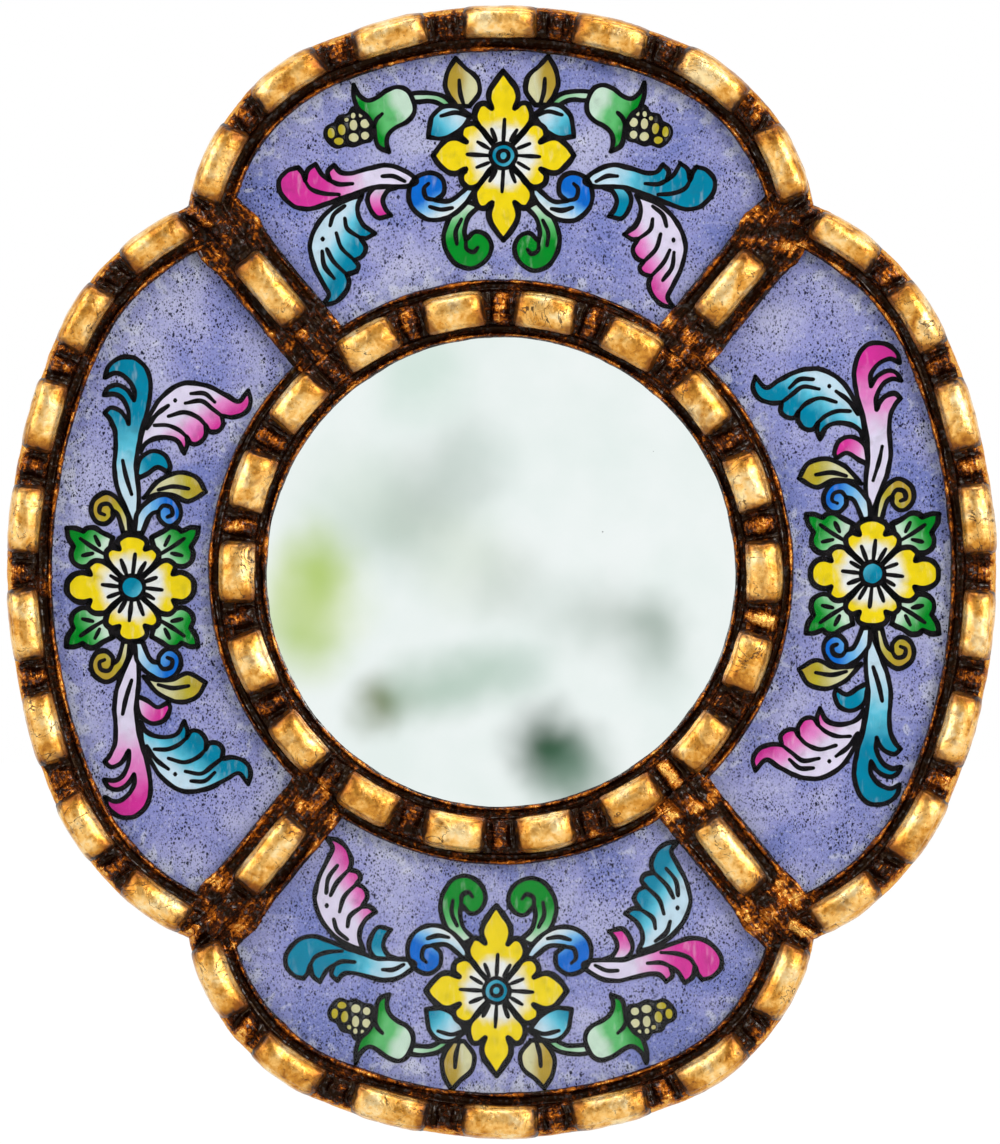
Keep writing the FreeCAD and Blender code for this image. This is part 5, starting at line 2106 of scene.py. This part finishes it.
@dataclass(frozen=True)
class SoftCard(Finish):
    """The pale card that the mirror reflects, with a few blurred green tones."""

    name: str = "soft_card"
    base: Colour = (249, 252, 252)
    tones: tuple[tuple[float, float, float, float, Colour], ...] = (
        (-33.0, -5.0, 10.0, 0.5, (226, 236, 150)), (-31.6, 1.0, 7.5, 0.75, (170, 200, 40)),
        (-34.5, -11.0, 8.0, 0.65, (170, 200, 60)), (-26.0, 12.0, 11.0, 0.35, (190, 212, 190)),
        (-17.0, 8.5, 9.0, 0.5, (176, 192, 176)), (-11.0, 14.0, 8.5, 0.5, (178, 190, 180)),
        (-5.0, 20.0, 8.0, 0.4, (186, 198, 190)), (-6.0, 2.0, 9.0, 0.35, (204, 216, 190)),
        (2.0, -1.5, 7.0, 0.4, (184, 196, 184)), (13.0, -7.5, 7.0, 0.35, (188, 198, 190)),
        (20.0, -8.0, 7.0, 0.45, (178, 188, 180)), (27.0, -9.5, 6.0, 0.65, (146, 162, 150)),
        (28.0, -15.5, 6.5, 0.4, (178, 190, 182)), (-21.0, -23.3, 5.5, 0.85, (108, 120, 66)),
        (-15.0, -21.0, 6.0, 0.55, (146, 178, 152)), (-8.0, -19.5, 6.0, 0.55, (148, 182, 158)),
        (-1.0, -18.0, 6.0, 0.5, (156, 188, 166)), (5.0, -16.8, 5.0, 0.35, (174, 198, 184)),
        (8.7, -30.5, 7.5, 0.95, (18, 66, 32)), (13.0, -36.0, 8.0, 0.7, (40, 104, 70)),
        (-13.0, 34.0, 9.0, 0.4, (180, 214, 194)),
    )
    spread: float = 2.4

    def surface(self, graph: Graph) -> Wire:
        """Builds the glow from soft round tones.

        Args:
            graph: The tree to build in.

        Returns:
            The shader's output.
        """
        place = graph.shaken(graph.place(), 24.0, 8.0)
        colour = linear(self.base)
        for x, z, size, strength, tone in self.tones:
            middle = (x * self.spread * MM, 0.0, z * self.spread * MM)
            away = place.vector("DISTANCE", middle, out="Value")
            share = (1.0 - away.between(0.0, size * self.spread * MM * 1.5)) * strength
            colour = share.mix(colour, linear(tone))
        return graph.glow(colour, 1.0)


@dataclass
class Studio:
    """Floor, card, lights, world and camera round the mirror."""

    camera_turn: float = 2.5
    camera_distance: float = 1.4
    view_height: float = 201.0
    outline_plane: float = -11.0
    floor_drop: float = 0.03
    floor_reach: float = 4.0
    ambient: float = 0.2
    card_radius: float = 0.125
    card_gap: float = 0.55
    card_shift: float = 1.4
    wall_reach: float = 3.2
    wall_gap: float = 0.6
    lights: tuple[tuple[str, Spot, Flat, float], ...] = (
        ("key", (0.7, -1.05, 0.5), (0.7, 0.9), 12.2),
        ("fill", (-0.95, -0.9, 0.55), (0.9, 1.1), 8.6),
        ("crest", (0.1, -0.35, 1.1), (0.9, 0.3), 3.2),
        ("edge", (1.15, -0.6, 0.05), (0.14, 0.9), 2.2),
        ("back", (0.3, 1.3, -0.45), (0.6, 0.6), 12.5),
    )

    def plane(self, name: str, corners: Sequence[Spot], finish: Finish) -> bpy.types.Object:
        """Adds a flat stage piece.

        Args:
            name: Its name.
            corners: Its corners in metres.
            finish: Its finish.

        Returns:
            The plane.
        """
        mesh = bpy.data.meshes.new(name)
        mesh.from_pydata([Vector(c) for c in corners], [], [tuple(range(len(corners)))])
        mesh.materials.append(finish.material())
        made = bpy.data.objects.new(name, mesh)
        bpy.context.scene.collection.objects.link(made)
        return made

    def light(self, name: str, place: Spot, size: Flat, watts: float) -> None:
        """Adds a soft box that looks at the mirror.

        Args:
            name: Its name.
            place: Its place in metres.
            size: Width and height in metres.
            watts: Its power.
        """
        lamp = bpy.data.lights.new(name, "AREA")
        lamp.shape, lamp.energy = "RECTANGLE", watts
        lamp.size, lamp.size_y = size
        made = bpy.data.objects.new(name, lamp)
        made.location = place
        made.rotation_euler = (-Vector(place)).to_track_quat("-Z", "Y").to_euler()
        bpy.context.scene.collection.objects.link(made)

    def world(self) -> None:
        """Sets even light all round, which camera, metal and glass see as white."""
        made = bpy.data.worlds.new("studio")
        made.use_nodes = True
        graph = Graph(made.node_tree)
        dim, white = (
            graph.add("ShaderNodeBackground", {}, {"Color": colour, "Strength": strength})
            for colour, strength in ((SKY_LIGHT, self.ambient), (WHITE_LIGHT, 1.0))
        )
        light = graph.blend(graph.background_ray(), dim, white)
        graph.add("ShaderNodeOutputWorld", {}, {"Surface": light})
        bpy.context.scene.world = made

    def camera(self) -> None:
        """Sets the camera in front of the mirror, a little to its right."""
        target = Vector((0.0, self.outline_plane * MM, 0.0))
        turn = math.radians(self.camera_turn)
        lens = bpy.data.cameras.new("camera")
        lens.sensor_width = 36.0
        lens.lens = lens.sensor_width * self.camera_distance / (self.view_height * MM)
        made = bpy.data.objects.new("camera", lens)
        made.location = target + Vector((math.sin(turn), -math.cos(turn), 0.0)) * self.camera_distance
        made.rotation_euler = (target - made.location).to_track_quat("-Z", "Y").to_euler()
        bpy.context.scene.collection.objects.link(made)
        bpy.context.scene.camera = made

    def build(self) -> None:
        """Makes the whole studio."""
        square = ((-1.0, -1.0), (1.0, -1.0), (1.0, 1.0), (-1.0, 1.0))
        low, reach = CAD_BOX[0][2] - self.floor_drop, self.floor_reach
        self.plane("floor", [(reach * a, reach * b, low) for a, b in square], PaleFloor())
        far = -self.camera_distance - self.card_gap
        rim = [polar(-9.0 * k, self.card_radius) for k in range(40)]
        card = self.plane("card", [(x, 0.0, z) for x, z in rim], SoftCard())
        aside = math.sin(math.radians(self.camera_turn)) * self.camera_distance
        card.location = (-aside * self.card_shift, far, 0.0)
        behind, spread = far - self.wall_gap, self.wall_reach
        corners = [(spread * a, behind, spread * b) for a, b in square]
        wall = self.plane("wall", corners, DimWall(strength=self.ambient))
        for sheet in (card, wall):
            sheet.visible_camera = sheet.visible_diffuse = False
        for row in self.lights:
            self.light(*row)
        self.world()
        self.camera()
        bpy.context.scene.view_settings.view_transform = "Standard"


def main() -> None:
    """Builds the frame, the painting, the fittings and the studio."""
    logging.basicConfig(level=logging.INFO, format="%(message)s")
    mouldings = [Rail(lobe=lobe) for lobe in LOBES] + [Ring()]
    mouldings += [Spoke(corner_name=name) for name in SPOKES]
    for moulding in mouldings:
        moulding.build()
    rows = [rail_blocks(lobe, i + 1) for i, lobe in enumerate(LOBES)] + [ring_blocks()]
    rows += [spoke_block(name, i + FIRST_SPOKE_SEED) for i, name in enumerate(SPOKES)]
    for row in rows:
        row.build()
    for pane in painted_panes():
        pane.build()
    dressings = (
        Dressing(ClearGlass(), tuple(f"pane_{lobe.name}" for lobe in LOBES)),
        Dressing(Silvering(), ("mirror_glass",)),
        Dressing(StainedBoard(), ("back_board",)),
        Dressing(ZINC, ("hanger_strap", "hanger_ring")),
        Dressing(BRASS, ("hanger_screw",)),
        Dressing(NAIL, ("frame_brads",)),
    )
    for dressing in dressings:
        dressing.dress()
    Studio().build()


if __name__ == "__main__":
    main()
